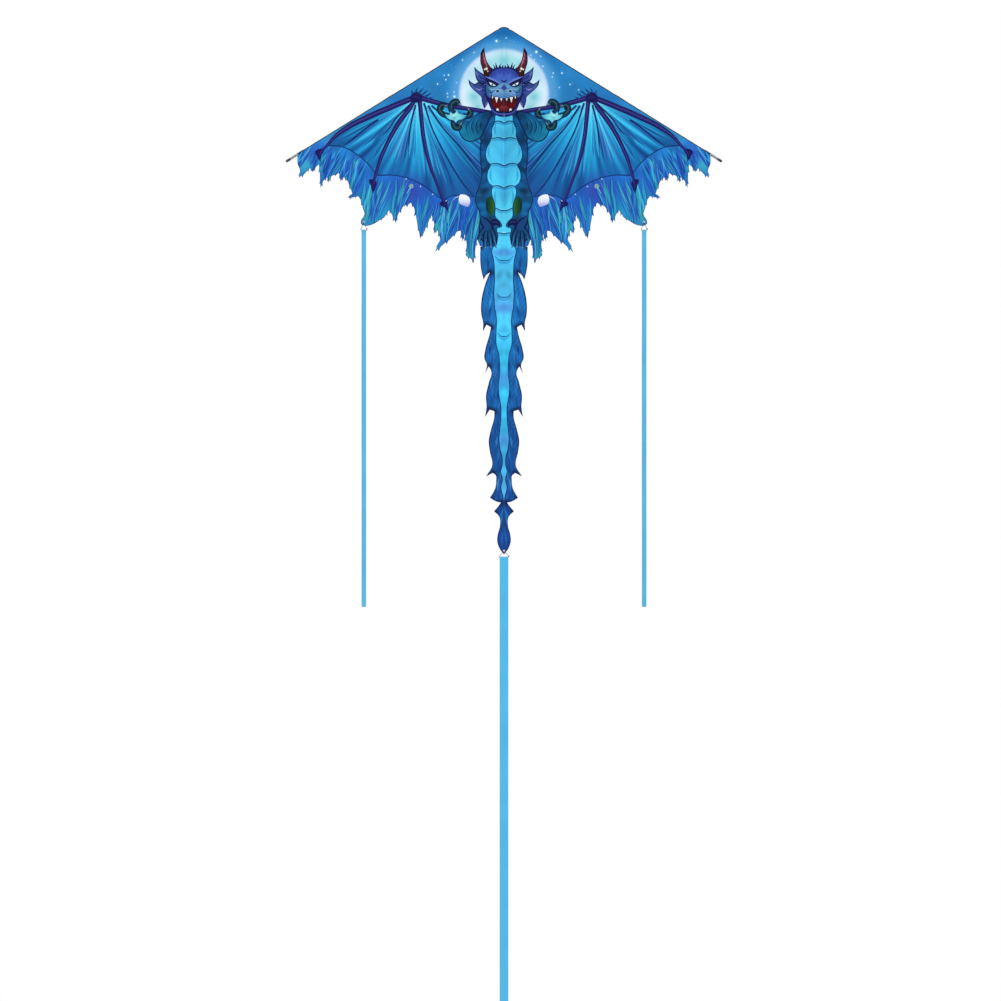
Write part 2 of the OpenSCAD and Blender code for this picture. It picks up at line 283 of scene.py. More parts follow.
def rounded_cut(points, sharp_turn=62):
    """A cut edge as a smooth line: points that turn by more than "sharp_turn" degrees stay corners."""
    marked = []
    for before, here, after in zip(np.roll(points, 1, axis=0), points, np.roll(points, -1, axis=0)):
        a, b = here - before, after - here
        cosine = a @ b / (np.linalg.norm(a) * np.linalg.norm(b))
        turn = math.degrees(math.acos(max(-1.0, min(1.0, cosine))))
        marked.append((*here, 1) if turn > sharp_turn else tuple(here))
    return marked


# ---------- the print ----------

# The print is drawn in millimetres: across from the middle of the kite, and down from the nose.
# A Mark is one printed shape. Its tint is a function of the points, and its strength is a number from
# 0 to 1 or a function. A Mark with no outline covers everything, and its strength is a function.
Mark = namedtuple("Mark", "outline tint strength")


def flat(*rgb):
    """One colour everywhere, from its parts on the 0 to 255 scale."""
    colour = np.array(rgb, float) / 255
    return lambda points: np.broadcast_to(colour, (len(points), 3))


def evenly(colours):
    """A function that turns shares from 0 to 1 into colours, spaced evenly along the given ones."""
    stops = np.array(colours, float) / 255
    places = np.linspace(0, 1, len(stops))
    return lambda shares: np.stack([np.interp(shares, places, stops[:, i]) for i in range(3)], axis=1)


def ramp(start, end, *colours):
    """Colours that change evenly from a start point to an end point."""
    a, b = np.array(start, float), np.array(end, float)
    shade = evenly(colours)
    return lambda points: shade(np.clip((points - a) @ (b - a) / ((b - a) @ (b - a)), 0, 1))


def glow(centre, radius, *colours):
    """Colours that change evenly from a centre out to a radius."""
    c = np.array(centre, float)
    shade = evenly(colours)
    return lambda points: shade(np.clip(np.linalg.norm(points - c, axis=1) / radius, 0, 1))


def mottled(tint, size, amount, seed):
    """A tint whose brightness drifts softly, in patches about "size" across."""
    dice = np.random.default_rng(seed)
    waves = [(dice.normal(size=2) / size * 2.4, dice.uniform(0, 6.28)) for _ in range(7)]

    def uneven(points):
        drift = sum(np.sin(points @ wave + phase) for wave, phase in waves) / len(waves)
        return np.clip(tint(points) * (1 + amount * drift[:, None] * 2), 0, 1)
    return uneven


def near(centre, radius, strength=1.0):
    """A strength that fades from a centre out to a radius."""
    c = np.array(centre, float)
    return lambda p: strength * np.clip(1 - np.linalg.norm(p - c, axis=1) / radius, 0, 1) ** 1.5


def band(depth, half, strength=1.0):
    """A strength that fades above and below a depth."""
    return lambda p: strength * np.exp(-(((p[:, 1] - depth) / half) ** 2))


def shape(outline, tint, strength=1):
    """A printed shape. Its tint is one colour, or a function of the points."""
    return Mark(outline, tint if callable(tint) else flat(*tint), strength)


def area(points, tint, strength=1, step=3):
    """A filled shape with a smooth outline through the points."""
    return shape(curve(points, step=step), tint, strength)


def brush(points, widths, tint, strength=1, step=5):
    """A brush stroke through the points, with a width at each."""
    return shape(stroke(points, widths, step), tint, strength)


def dot(x, depth, radius, tint, strength=1, squeeze=1, count=12):
    """A circle or an oval, with "count" sides."""
    return shape(disc(x, depth, radius, squeeze, count=count), tint, strength)


def spot(centre, radius, tint, strength=1):
    """A soft patch of colour that has no outline."""
    return shape(None, tint, near(centre, radius, strength))


# The wrist is where the wing's bones meet. The rest are the bones' colours.
WRIST = (281, 228)
NAVY = (25, 26, 92)
BONE = (46, 38, 118)
SHINE = (84, 82, 168)

# Wing bones: the points along each bone with its width, then the small spade at its end.
BONES = [
    ([(37, 279), (92, 268), (164, 257), (233, 240), (281, 226)], [16, 14, 15, 16, 18], None),
    ([(284, 232), (302, 262), (324, 290), (345, 321), (377, 380), (401, 438), (415, 486), (420, 508)],
     [12, 15, 16, 15, 13, 11, 9, 8], [(410, 500), (432, 492), (428, 512), (422, 537, 1), (412, 516)]),
    ([(271, 236), (265, 300), (257, 366), (239, 441), (213, 512), (193, 566)],
     [14, 14, 13, 11, 9, 8], [(186, 556), (206, 572), (190, 582), (176, 600, 1), (181, 578)]),
    ([(281, 226), (350, 254), (430, 288), (503, 325), (540, 351), (566, 380), (592, 408)],
     [18, 18, 19, 17, 12, 9, 8], [(578, 398), (606, 402), (600, 418), (589, 436, 1), (586, 414)]),
]

# Thin struts between the bones.
STRUTS = [
    [(297, 246), (350, 300), (377, 337), (390, 350)],
    [(404, 300), (441, 325), (497, 370), (519, 386)],
    [(284, 252), (301, 326), (305, 366), (306, 402)],
    [(257, 246), (231, 326), (186, 415), (126, 512), (96, 547)],
    [(244, 254), (191, 332), (141, 385), (110, 425), (78, 466)],
    [(233, 254), (204, 278), (175, 300), (160, 306)],
]

# The membrane's lower edge, from the last bone's tip to the body, in scallops between the bones.
SCALLOPS = [
    [(566, 382), (519, 387), (472, 411), (431, 448), (413, 472)],
    [(407, 478), (350, 478), (284, 497), (223, 537), (200, 556)],
    [(192, 557), (175, 547), (150, 542), (118, 543), (96, 548)],
]
SCALLOP_LINE = [p for line in SCALLOPS for p in line]


# The moon's centre and radius, and how softly its rim fades.
MOON = (0, 217)
MOON_RADIUS = 146
MOON_SOFT = 13


def sky_marks(side):
    """The night sky with its soft moon and its stars. The stars are the only part that isn't mirrored."""
    base = mottled(ramp((0, 0), (0, 300), (28, 122, 190), (36, 132, 194), (58, 148, 204)), 90, 0.06, 3)
    marks = [area([(-2, -20, 1), (720, -20, 1), (720, 500, 1), (-2, 300, 1)], base, step=40)]
    for x, depth, reach, colour in [
        (210, 150, 90, (56, 150, 210)), (330, 250, 80, (36, 108, 176)), (130, 60, 70, (28, 108, 180)),
        (480, 330, 110, (44, 146, 206)), (600, 380, 80, (60, 150, 208))
    ]:
        marks.append(spot((x, depth), reach, colour, 0.8))
    marks.append(shape(disc(*MOON, 196, count=60), (112, 178, 226), moon_edge(196, 44, 0.75)))
    moon = mottled(ramp((0, 70), (0, 300), (226, 242, 252), (190, 230, 242), (222, 240, 252),
                        (230, 244, 255)), 60, 0.02, 5)
    marks += [shape(disc(*MOON, MOON_RADIUS + MOON_SOFT, count=80), (206, 224, 250),
                    moon_edge(MOON_RADIUS + 5, MOON_SOFT, 1)),
              shape(disc(*MOON, MOON_RADIUS, count=80), moon, moon_edge(MOON_RADIUS - 4, MOON_SOFT, 1))]
    for x, depth, reach, strength in [(0, 112, 60, 1), (52, 118, 36, 0.6), (96, 226, 40, 1),
                                      (84, 262, 34, 0.9)]:
        marks.append(spot((x, depth), reach, (126, 206, 214), strength))
    dice = np.random.default_rng(11 if side > 0 else 12)
    for x, depth, radius in STARS_RIGHT if side > 0 else STARS_LEFT:
        marks += [spot((x, depth), radius * 4, (150, 205, 238), 0.6),
                  dot(x, depth, radius * 1.3, (170, 214, 242), 0.8),
                  dot(x, depth, radius * 0.9, (246, 252, 255))]
    for _ in range(60):
        x, depth = dice.uniform(8, 330), dice.uniform(18, 255)
        if depth > 0.62 * x + 14 and np.hypot(x, depth - MOON[1]) > MOON_RADIUS + 8:
            marks.append(dot(x, depth, dice.uniform(0.6, 1.3), (176, 216, 242), 0.85, count=6))
    return marks


def moon_edge(radius, soft, strength):
    """A strength that is full inside a circle round the moon's centre, and fades out over its rim."""
    return lambda p: strength * smoothstep(radius - np.linalg.norm(p - MOON, axis=1), 0, soft)


# Each star's place and radius, on the two halves of the sky.
STARS_RIGHT = [
    (7, 37, 1.5), (104, 82, 3.2), (86, 92, 1.6), (118, 96, 1.5), (98, 107, 1.4), (125, 128, 1.8),
    (158, 150, 1.6), (155, 162, 1.4), (186, 150, 2.0), (212, 186, 1.5), (178, 196, 1.3),
    (240, 204, 1.4),
]
STARS_LEFT = [
    (24, 47, 3.0), (133, 108, 1.6), (178, 156, 2.0), (187, 171, 1.7), (159, 225, 3.0), (182, 215, 1.6),
    (160, 210, 1.4), (192, 157, 1.4), (213, 185, 1.7), (152, 180, 1.3), (181, 226, 1.5), (96, 84, 1.4),
]


def membrane_tint():
    """The wing's skin: pale at the wrist, deeper outwards, in rays that fan out from the wrist."""
    by_reach = glow(WRIST, 430, (138, 218, 244), (74, 192, 232), (44, 164, 214), (30, 132, 190),
                    (26, 106, 168), (32, 90, 156), (28, 80, 142))
    dice = np.random.default_rng(21)
    rays = [(dice.uniform(9, 60), dice.uniform(0, 6.28), dice.uniform(0.5, 1)) for _ in range(9)]

    def tint(points):
        v = points - np.array(WRIST)
        turn = np.arctan2(v[:, 1], v[:, 0]) + np.linalg.norm(v, axis=1) * 0.0004
        light = sum(weight * np.sin(rate * turn + phase) for rate, phase, weight in rays) / 4.2
        uneven = 1 + 0.30 * light[:, None] * np.array([1.4, 1.0, 0.6])
        return np.clip(by_reach(points) * uneven, 0, 1)
    return tint


def wing_marks():
    """The membrane with its rays, its scalloped edge and its struts."""
    membrane = [(60, 277), (92, 270), (164, 258), (233, 242), (281, 226), (350, 252), (430, 286),
                (503, 323), (540, 348), (566, 381)]
    edge = edge_points(SCALLOP_LINE + [(60, 560)])
    marks = [area([(*p, 1) for p in membrane] + edge, membrane_tint(), step=6)]
    dice = np.random.default_rng(31)
    dark = [(20, 84, 150), (48, 70, 154), (24, 62, 134), (70, 76, 164)]
    pale = [(60, 190, 232), (40, 170, 220), (96, 206, 240), (50, 180, 210)]
    for i in range(84):
        turn = math.radians(dice.uniform(24, 148))
        reach = membrane_reach(turn)
        if reach < 120:
            continue
        near_end, far_end = dice.uniform(0.08, 0.5) * reach, dice.uniform(0.7, 0.95) * reach
        bend = dice.uniform(-0.035, 0.035)
        line = [ray_point(turn + bend * t * t, near_end + (far_end - near_end) * t)
                for t in (0, 0.4, 0.75, 1)]
        width = dice.uniform(3.5, 9)
        colour = (dark if i % 2 else pale)[dice.integers(4)]
        marks.append(brush(line, [0.6, width * 0.6, width, 0.8], colour, dice.uniform(0.3, 0.6),
                           step=9))
    marks += scallop_marks((20, 62, 128))
    for line in STRUTS:
        marks.append(brush(line, [6.5] + [4.6] * (len(line) - 2) + [1.4], (16, 44, 104), 0.95))
    return marks


def scallop_marks(colour):
    """A line along the membrane's scalloped edge. It is drawn again over the fire."""
    return [brush(line, [4.5] + [3.4] * (len(line) - 2) + [2.4], colour, 0.95) for line in SCALLOPS]


def edge_points(points):
    """The scalloped edge as curve points: the bones' ends are corners."""
    ends = {line[0] for line in SCALLOPS} | {line[-1] for line in SCALLOPS}
    return [(*p, 1) if p in ends or p[0] == 60 else p for p in points]


def ray_point(turn, reach):
    """A point at a distance from the wrist, in one direction."""
    return (WRIST[0] + reach * math.cos(turn), WRIST[1] + reach * math.sin(turn))


def membrane_reach(turn):
    """How far the membrane runs from the wrist in one direction."""
    line = np.array(SCALLOP_LINE, float) - np.array(WRIST)
    turns = np.arctan2(line[:, 1], line[:, 0])
    reaches = np.linalg.norm(line, axis=1)
    order = np.argsort(turns)
    return float(np.interp(turn, turns[order], reaches[order]))


# The small spikes above the wrist: each one's root, its tip and its width.
WRIST_SPIKES = [((254, 226), (232, 214), 7), ((264, 222), (244, 204), 7), ((274, 217), (259, 198), 7),
                ((284, 214), (276, 196), 6), ((294, 218), (294, 203), 6), ((244, 232), (226, 226), 6)]


def bone_marks():
    """The bones over the membrane: a navy outline, a violet middle and a thin light."""
    marks = []
    for line, widths, spade in BONES:
        if spade:
            marks += [area(spade, NAVY),
                      area(scaled(spade, 0.5), BONE, 0.8)]
        marks += [brush(line, widths, NAVY),
                  brush(line, [w * 0.58 for w in widths], BONE, 0.95)]
        shifted = [(x - 1.5, depth - 1.5) for x, depth in line]
        marks.append(brush(shifted, [w * 0.14 for w in widths], SHINE, 0.8))
    marks += [area([(262, 228), (268, 216), (284, 210), (297, 219), (301, 236), (284, 245), (266, 241)],
                   NAVY),
              brush([(266, 236), (280, 226), (296, 228)], [3, 8, 3], BONE, 0.95, step=4)]
    for (x, depth), (tip_x, tip_depth), width in WRIST_SPIKES:
        middle = ((x + tip_x) / 2 + 2, (depth + tip_depth) / 2 + 1)
        marks += [brush([(x, depth), middle, (tip_x, tip_depth)], [width, width * 0.7, 0.8],
                        (20, 40, 104), step=3),
                  brush([(x, depth), middle], [width * 0.4, 1], (58, 110, 176), 0.9, step=3)]
    return marks


# The light and dark patches of the fire: where, how far, and which colour.
FIRE_PATCHES = [
    (552, 444, 64, (34, 150, 214)), (611, 423, 60, (60, 104, 214)), (640, 446, 46, (70, 180, 206)),
    (430, 580, 80, (66, 188, 178)), (470, 500, 66, (44, 112, 200)), (520, 470, 54, (46, 88, 190)),
    (350, 530, 80, (44, 110, 200)), (300, 530, 66, (66, 78, 178)), (240, 590, 66, (44, 96, 196)),
    (200, 650, 60, (44, 150, 214)), (150, 600, 60, (48, 92, 186)), (104, 670, 56, (36, 150, 190)),
    (380, 600, 60, (44, 160, 206)), (270, 640, 54, (58, 150, 206)), (585, 490, 40, (40, 150, 206)),
    (118, 740, 44, (62, 186, 190)), (224, 710, 40, (52, 176, 206))
]
FIRE_COLOURS = [(92, 210, 234), (50, 176, 226), (36, 138, 208), (34, 92, 180), (78, 206, 192),
                (54, 110, 204), (30, 112, 190), (124, 218, 236), (34, 76, 160), (64, 110, 206),
                (44, 168, 204), (62, 192, 172)]

# More places that the strands run to: the broad tongues' middles and sides.
BROAD_TIPS = [(418, 640), (494, 562), (678, 472), (188, 690)]


def flame_marks(tips):
    """The fire below the wings: a patchy blue ground, and strands down to each point of the hem."""
    ground = mottled(ramp((60, 0), (700, 0), (32, 104, 184), (36, 108, 190), (38, 116, 194),
                          (42, 128, 198), (50, 136, 202)), 34, 0.10, 41)
    corners = [(574, 380, 1), (592, 352, 1), (720, 430, 1), (720, 820, 1), (60, 820, 1), (60, 545, 1)]
    marks = [area(corners + edge_points(SCALLOP_LINE[::-1]), ground, step=20)]
    marks += [spot((x, depth), reach * 1.2, colour) for x, depth, reach, colour in FIRE_PATCHES]
    dice = np.random.default_rng(43)
    for tip in tips + BROAD_TIPS:
        marks += tongue_marks(tip, dice)
    return marks


def tongue_marks(tip, dice):
    """One tongue of fire: broad dark and light strands, thin strands over them, and a dark tip."""
    x, depth = tip
    root = min(SCALLOP_LINE, key=lambda p: abs(p[0] - x * 0.93))
    length = max(46.0, depth - root[1] + 6)
    marks = []
    for i in range(6):
        spread = (i - 2.5) * 9.5 + dice.uniform(-2, 2)
        line = [strand_point(tip, length, spread, share, 5 * (-1) ** i)
                for share in np.linspace(dice.uniform(0.05, 0.35), dice.uniform(0.8, 1.0), 4)]
        colour = FIRE_COLOURS[dice.integers(len(FIRE_COLOURS))]
        marks += [brush(line, [1, 15, 12, 1], (28, 74, 164), 0.7, step=11),
                  brush(line, [0.5, 10.5, 8, 0.5], colour, 0.7, step=11)]
    for i in range(11):
        spread = (i - 5) * 5.4 + dice.uniform(-2, 2)
        if i % 2:
            first, last = dice.uniform(0, 0.2), dice.uniform(0.5, 0.85)
        else:
            first, last = dice.uniform(0.1, 0.4), 1.0
        line = [strand_point(tip, length, spread, share, 7 * math.sin(i * 1.7))
                for share in np.linspace(first, last, 5)]
        width = dice.uniform(1.8, 4.6)
        colour = FIRE_COLOURS[dice.integers(len(FIRE_COLOURS))]
        marks.append(brush(line, [0.5, width, width, width * 0.7, 0.5], colour,
                           dice.uniform(0.35, 0.75), step=11))
    marks.append(brush([(x - 3.5, depth - 20), (x, depth - 9), (x, depth + 3)], [0.5, 4, 4],
                       (40, 66, 100), 0.6))
    return marks


def strand_point(tip, length, spread, share, sway):
    """A point on a strand of fire that swings down from the scallops to a tip; share runs from 0 to 1."""
    x, depth = tip
    back = 1 - share
    across = spread * (1.5 * back + 0.1) - 0.16 * length * back**2 + sway * math.sin(share * 5.5)
    return (x * (1 - 0.045 * back) + across, depth - 1 - length * back)


def hem_marks(cut):
    """A thin dark line along the fire's cut edge."""
    low = cut[(cut[:, 1] > 440 - 0.28 * (cut[:, 0] - 640)) & (cut[:, 0] > 70) & (cut[:, 0] < 690)]
    marks = []
    for a, b, c in zip(low, low[1:], low[2:]):
        if np.linalg.norm(b - a) > 12 or np.linalg.norm(c - b) > 12:
            continue
        marks.append(brush([tuple(a), tuple(b), tuple(c)], [4.2, 4.6, 4.2], (30, 78, 150), 0.5, step=6))
    return marks


def scaled(points, share):
    """A shape drawn smaller or larger about its own middle."""
    middle = np.mean([p[:2] for p in points], axis=0)
    return [tuple(middle + (np.array(p[:2]) - middle) * share) + tuple(p[2:]) for p in points]


def spark_marks():
    """Sparks on the scallops, a small flower of light, and a pearl beside the body."""
    marks = [dot(x, depth, 2.4, (196, 214, 240), 0.9, count=8)
             for x, depth in [(314, 490), (268, 514), (229, 539), (186, 560)]]
    for turn in range(0, 360, 72):
        x, depth = 298 + 5 * math.cos(math.radians(turn)), 513 + 5 * math.sin(math.radians(turn))
        marks.append(dot(x, depth, 3.2, (176, 214, 196), 0.75, count=8))
    marks += [dot(298, 513, 2.2, (88, 130, 70), count=8),
              brush([(302, 519), (309, 531), (313, 538)], [2.6, 1.8, 0.6], (178, 208, 240), 0.8,
                    step=3)]
    pearl = [(129, 540), (141, 541), (145, 551), (142, 568), (128, 576), (116, 580, 1), (109, 567),
             (111, 551)]
    marks += [area(pearl, ramp((0, 538), (0, 580), (250, 252, 255), (228, 234, 248), (160, 160, 220))),
              brush([(146, 545), (158, 552), (166, 560)], [3, 2, 0.5], (210, 220, 244), 0.8, step=3)]
    return marks


# The dragon's trunk, from its neck to the root of its tail: the outline's half, then the belly's.
TRUNK = [(0, 262), (36, 268), (66, 276), (75, 300), (80, 340), (76, 362), (78, 397), (76, 437),
         (72, 474), (78, 506), (89, 535), (93, 552), (91, 569), (81, 592), (78, 612), (80, 640),
         (81, 664), (70, 690), (40, 712), (0, 720)]
BELLY = [(0, 284), (28, 286), (30, 305), (40, 330), (41, 357), (44, 366), (56, 391), (60, 414),
         (54, 433), (45, 443), (53, 466), (55, 486), (48, 504), (38, 513), (41, 528), (38, 548),
         (31, 567), (29, 585), (29, 610), (13, 628), (8, 642), (24, 650), (21, 668), (20, 730),
         (0, 740)]

# The seams between the belly's plates, each from its side to the middle.
PLATES = [((30, 306), (15, 304), (0, 311)), ((38, 361), (18, 357), (0, 362)),
          ((47, 443), (22, 440), (0, 448)), ((39, 514), (17, 512), (0, 520)),
          ((28, 583), (12, 590), (0, 592)), ((23, 663), (10, 664), (0, 667))]


def trunk_marks():
    """The trunk with its scales, and the pale belly with its plates."""
    teal = mottled(ramp((0, 270), (0, 700), (16, 92, 138), (14, 80, 130), (18, 94, 140), (14, 72, 122)),
                   22, 0.26, 51)
    marks = [shape(closed_half(TRUNK), (10, 30, 66)),
             shape(closed_half(inset(TRUNK, 3)), teal)]
    for x, depth, radius, colour in [
        (66, 330, 11, (22, 92, 140)), (69, 420, 9, (20, 86, 130)), (66, 500, 10, (26, 92, 150)),
        (80, 552, 9, (20, 84, 128)), (68, 628, 9, (16, 84, 96))
    ]:
        marks.append(spot((x, depth), radius * 2.4, colour, 0.9))
    green = [(36, 556), (44, 546), (54, 556), (58, 578), (50, 600), (38, 606), (32, 590)]
    marks += [area(green, ramp((32, 0), (58, 0), (52, 112, 44), (22, 82, 44), (8, 50, 60))),
              brush([(52, 560), (55, 580), (49, 596)], [0.8, 3, 0.8], (6, 40, 50), 0.9, step=4)]
    for x, depth, width in [(69, 306, 8), (72, 352, 7), (69, 398, 8), (68, 446, 7), (64, 482, 7),
                            (80, 536, 8)]:
        line = [(x - width, depth), (x - width * 0.2, depth + 7), (x + width * 0.8, depth + 3)]
        marks.append(brush(line, [0.6, 3, 0.6], (46, 118, 160), 0.65, step=4))
    belly = mottled(ramp((0, 285), (0, 735), (104, 226, 252), (98, 218, 252), (94, 214, 250),
                         (98, 218, 250), (86, 206, 248)), 30, 0.06, 53)
    marks += [shape(closed_half(BELLY), (10, 52, 96)),
              shape(closed_half(inset(BELLY, 2.2)), belly)]
    for (ax, ay), (bx, by), (cx, cy) in PLATES:
        marks += [brush([(ax, ay - 3), (bx, by - 1), (cx, cy - 4)], [2, 7, 6], (150, 228, 246), 0.4),
                  brush([(ax, ay + 6), (bx, by + 6), (cx, cy + 5)], [2, 8, 7], (44, 140, 196), 0.45),
                  brush([(ax, ay), (bx, by), (cx, cy)], [4, 3.4, 4.2], (20, 88, 132))]
    for depth, reach in [(330, 30), (400, 50), (478, 44), (548, 30)]:
        marks.append(brush([(reach - 5, depth - 26), (reach, depth), (reach - 6, depth + 24)],
                           [0.6, 8, 0.6], (46, 150, 204), 0.5, step=8))
    return marks


def closed_half(points):
    """Half of a mirrored shape, closed just past the middle line."""
    first, last = points[0], points[-1]
    half = [(*first[:2], 1)] + list(points[1:-1]) + [(*last[:2], 1)]
    return curve([(-3, first[1], 1), *half, (-3, last[1], 1)], step=4)


def inset(points, by):
    """A half outline moved in towards the middle line, with its top moved down."""
    moved = [(max(x - by, 0) if x else 0, depth) for x, depth in points]
    return [(moved[0][0], moved[0][1] + by)] + moved[1:]


# The fingers of a hand: each one's line from the palm to its curled end.
FINGERS = [[(160, 282), (170, 264), (166, 246), (152, 240), (144, 248)],
           [(178, 286), (196, 282), (207, 266), (200, 252), (190, 254)],
           [(132, 286), (116, 288), (106, 278), (112, 268)],
           [(152, 296), (162, 310), (158, 324), (145, 326), (140, 316)]]


# The dark hollows inside the curled fingers.
CURLS = [(155, 252, 6), (198, 262, 6), (114, 277, 5), (150, 316, 5)]


def arm_marks():
    """An arm bent up in front of the shoulder, with lines of muscle, curled fingers and a pale palm."""
    upper = [(39, 274), (66, 274), (89, 282), (104, 293), (113, 304), (122, 297), (133, 292),
             (147, 295), (150, 315), (147, 332), (142, 346), (132, 361), (112, 371), (92, 368),
             (75, 358), (60, 330), (46, 300)]
    skin = mottled(ramp((60, 280), (138, 366), (14, 76, 124), (12, 100, 140), (28, 146, 176)), 22,
                   0.14, 61)
    marks = [area(upper, (8, 30, 84), step=4),
             area(scaled(upper, 0.92), skin, step=4)]
    for x, depth, reach in [(106, 356, 30), (132, 330, 24), (86, 304, 20)]:
        marks.append(spot((x, depth), reach, (28, 142, 174), 0.75))
    for line, widths in [([(60, 286), (82, 300), (90, 322), (84, 346)], [1, 4, 4, 1]),
                         ([(98, 300), (104, 322), (94, 350)], [1, 3.6, 1]),
                         ([(113, 304), (122, 322), (116, 344)], [5, 3.6, 1]),
                         ([(128, 300), (136, 316), (132, 334)], [1, 3, 1]),
                         ([(72, 300), (76, 318), (72, 336)], [1, 3, 1])]:
        marks.append(brush(line, widths, (6, 44, 92), 0.85))
        lit = [(x + 4, depth + 2) for x, depth in line]
        marks.append(brush(lit, [w * 0.5 for w in widths], (40, 144, 180), 0.6))
    for finger in FINGERS:
        count = len(finger)
        wide = [17, 19, 19, 17, 12][:count - 1] + [12]
        thin = [w * 0.62 for w in wide]
        marks += [brush(finger, wide, (8, 24, 64), step=3),
                  brush(finger, thin, (20, 66, 98), step=3),
                  brush(finger[1:], [w * 0.42 for w in wide[1:]], (14, 48, 62), step=3),
                  brush(finger[1:], [w * 0.2 for w in wide[1:]], (64, 118, 112), 0.8, step=3)]
        (ax, ay), (bx, by) = finger[-2:]
        claw = [(bx, by), (bx + (bx - ax) * 0.5, by + (by - ay) * 0.5),
                (bx + (bx - ax) * 1.2, by + (by - ay) * 0.9)]
        marks += [brush(claw, [9, 7, 1], (10, 20, 48), step=2),
                  brush(claw, [4.5, 3, 0.4], (150, 164, 172), 0.9, step=2)]
    for x, depth, radius in CURLS:
        marks.append(dot(x, depth, radius, (10, 32, 66), 0.95, count=14))
    palm = [(118, 285, 1), (133, 283), (146, 279), (150, 266, 1), (157, 278), (163, 281), (172, 273, 1),
            (174, 283), (190, 281, 1), (183, 292), (173, 299), (162, 301), (155, 309, 1), (147, 301),
            (132, 297)]
    marks += [area(scaled(palm, 1.14), (14, 56, 100), step=4),
              area(palm, glow((158, 286), 42, (174, 236, 236), (118, 212, 226), (56, 152, 186)))]
    for line in [[(148, 286), (158, 292), (168, 290)], [(152, 296), (160, 297), (168, 296)]]:
        marks.append(brush(line, [0.6, 2.2, 0.6], (44, 128, 160), 0.8, step=3))
    return marks


# The toes of a foot, each from the ankle to its claw.
TOES = [[(46, 650), (34, 668), (30, 690), (25, 711)], [(52, 654), (45, 676), (43, 696), (42, 714)],
        [(58, 656), (59, 678), (61, 698), (60, 716)], [(64, 652), (74, 668), (81, 684), (84, 696)]]


def foot_marks():
    """The feet on the tail's root: an ankle, four long toes, and the claw that curls over the belly."""
    marks = [brush([(78, 606), (66, 624), (54, 640), (50, 660)], [3, 26, 34, 40], (10, 28, 86), step=4),
             brush([(78, 606), (66, 624), (54, 640), (50, 658)], [1, 15, 22, 26], (24, 78, 130),
                   step=4)]
    for toe in TOES:
        marks += [brush(toe, [17, 16, 14, 3], (8, 22, 76), step=4),
                  brush(toe, [9, 8.6, 7, 1], (18, 84, 128), step=4)]
        lit = [(x - 1.5, depth + 4) for x, depth in toe[1:]]
        marks += [brush(lit, [1.5, 3, 0.8], (66, 150, 178), 0.85, step=4),
                  dot(toe[-1][0], toe[-1][1] - 6, 2, (120, 172, 186), 0.9, squeeze=1.6, count=10)]
    claw = [(40, 622), (28, 618), (18, 624), (12, 636), (13, 649, 1), (19, 640), (28, 638), (38, 644)]
    marks += [area(claw, (18, 20, 76)),
              brush([(38, 630), (26, 627), (18, 634)], [5, 5, 1.5], (46, 60, 128), 0.9, step=3)]
    return marks


def ear_marks():
    """Two fins beside the head, with thin ribs and a few pale spots."""
    upper = [(54, 164), (66, 153), (80, 144), (96, 129, 1), (93, 149), (91, 163), (84, 177), (72, 185),
             (56, 184)]
    lower = [(56, 192), (70, 184), (84, 179), (94, 184), (104, 179), (115, 169, 1), (110, 189),
             (98, 204), (83, 217), (72, 229), (70, 246), (63, 264, 1), (54, 252), (50, 220)]
    marks = []
    for fin, share in ((lower, 0.84), (upper, 0.78)):
        marks += [area(fin, (20, 32, 84)),
                  area(scaled(fin, share), ramp((48, 0), (106, 0), (48, 66, 142), (84, 108, 176)))]
    for line in [[(58, 172), (76, 162), (92, 140)], [(58, 180), (74, 176), (86, 168)],
                 [(58, 208), (84, 198), (106, 180)], [(60, 216), (68, 230), (64, 252)],
                 [(58, 200), (76, 190), (94, 188)]]:
        marks.append(brush(line, [2.4, 3.2, 1], (20, 34, 92), 0.95, step=4))
    for line, colour in [([(70, 200), (80, 203), (90, 197)], (156, 160, 216)),
                         ([(53, 240), (57, 250), (61, 258)], (150, 140, 208)),
                         ([(80, 158), (88, 150), (92, 142)], (120, 140, 196))]:
        marks.append(brush(line, [1, 5, 1], colour, 0.85, step=3))
    return marks


def horn_marks():
    """A horn with rings round it, rooted in a tuft with pale beads."""
    horn = [(43, 152), (39, 138), (45, 128), (55, 112), (60, 92), (64, 67, 1), (74, 84), (76, 100),
            (76, 114), (71, 132), (66, 148), (60, 164), (51, 160)]
    marks = [area(horn, (36, 18, 52)),
             area(scaled(horn, 0.8), ramp((0, 72), (0, 158), (70, 30, 66), (116, 42, 62),
                                          (94, 36, 54), (66, 28, 14))),
             brush([(66, 84), (64, 100), (60, 116), (54, 130)], [1, 4, 4.6, 2], (198, 142, 166),
                   0.75, step=4)]
    for depth, x in [(98, 70), (110, 69), (122, 65), (134, 60)]:
        marks.append(brush([(x - 8, depth - 2), (x, depth + 2), (x + 6, depth)], [0.6, 2.4, 0.6],
                           (44, 14, 34), 0.85, step=3))
    tuft = [(44, 150), (48, 142), (60, 140), (66, 148), (59, 160), (51, 158)]
    marks.append(area(tuft, (62, 24, 8), 0.9))
    for x, depth, radius in [(56, 136, 3.4), (62, 138, 2.2), (52, 144, 1.8)]:
        marks.append(dot(x, depth, radius, (250, 240, 236), 0.95, squeeze=1.3))
    return marks


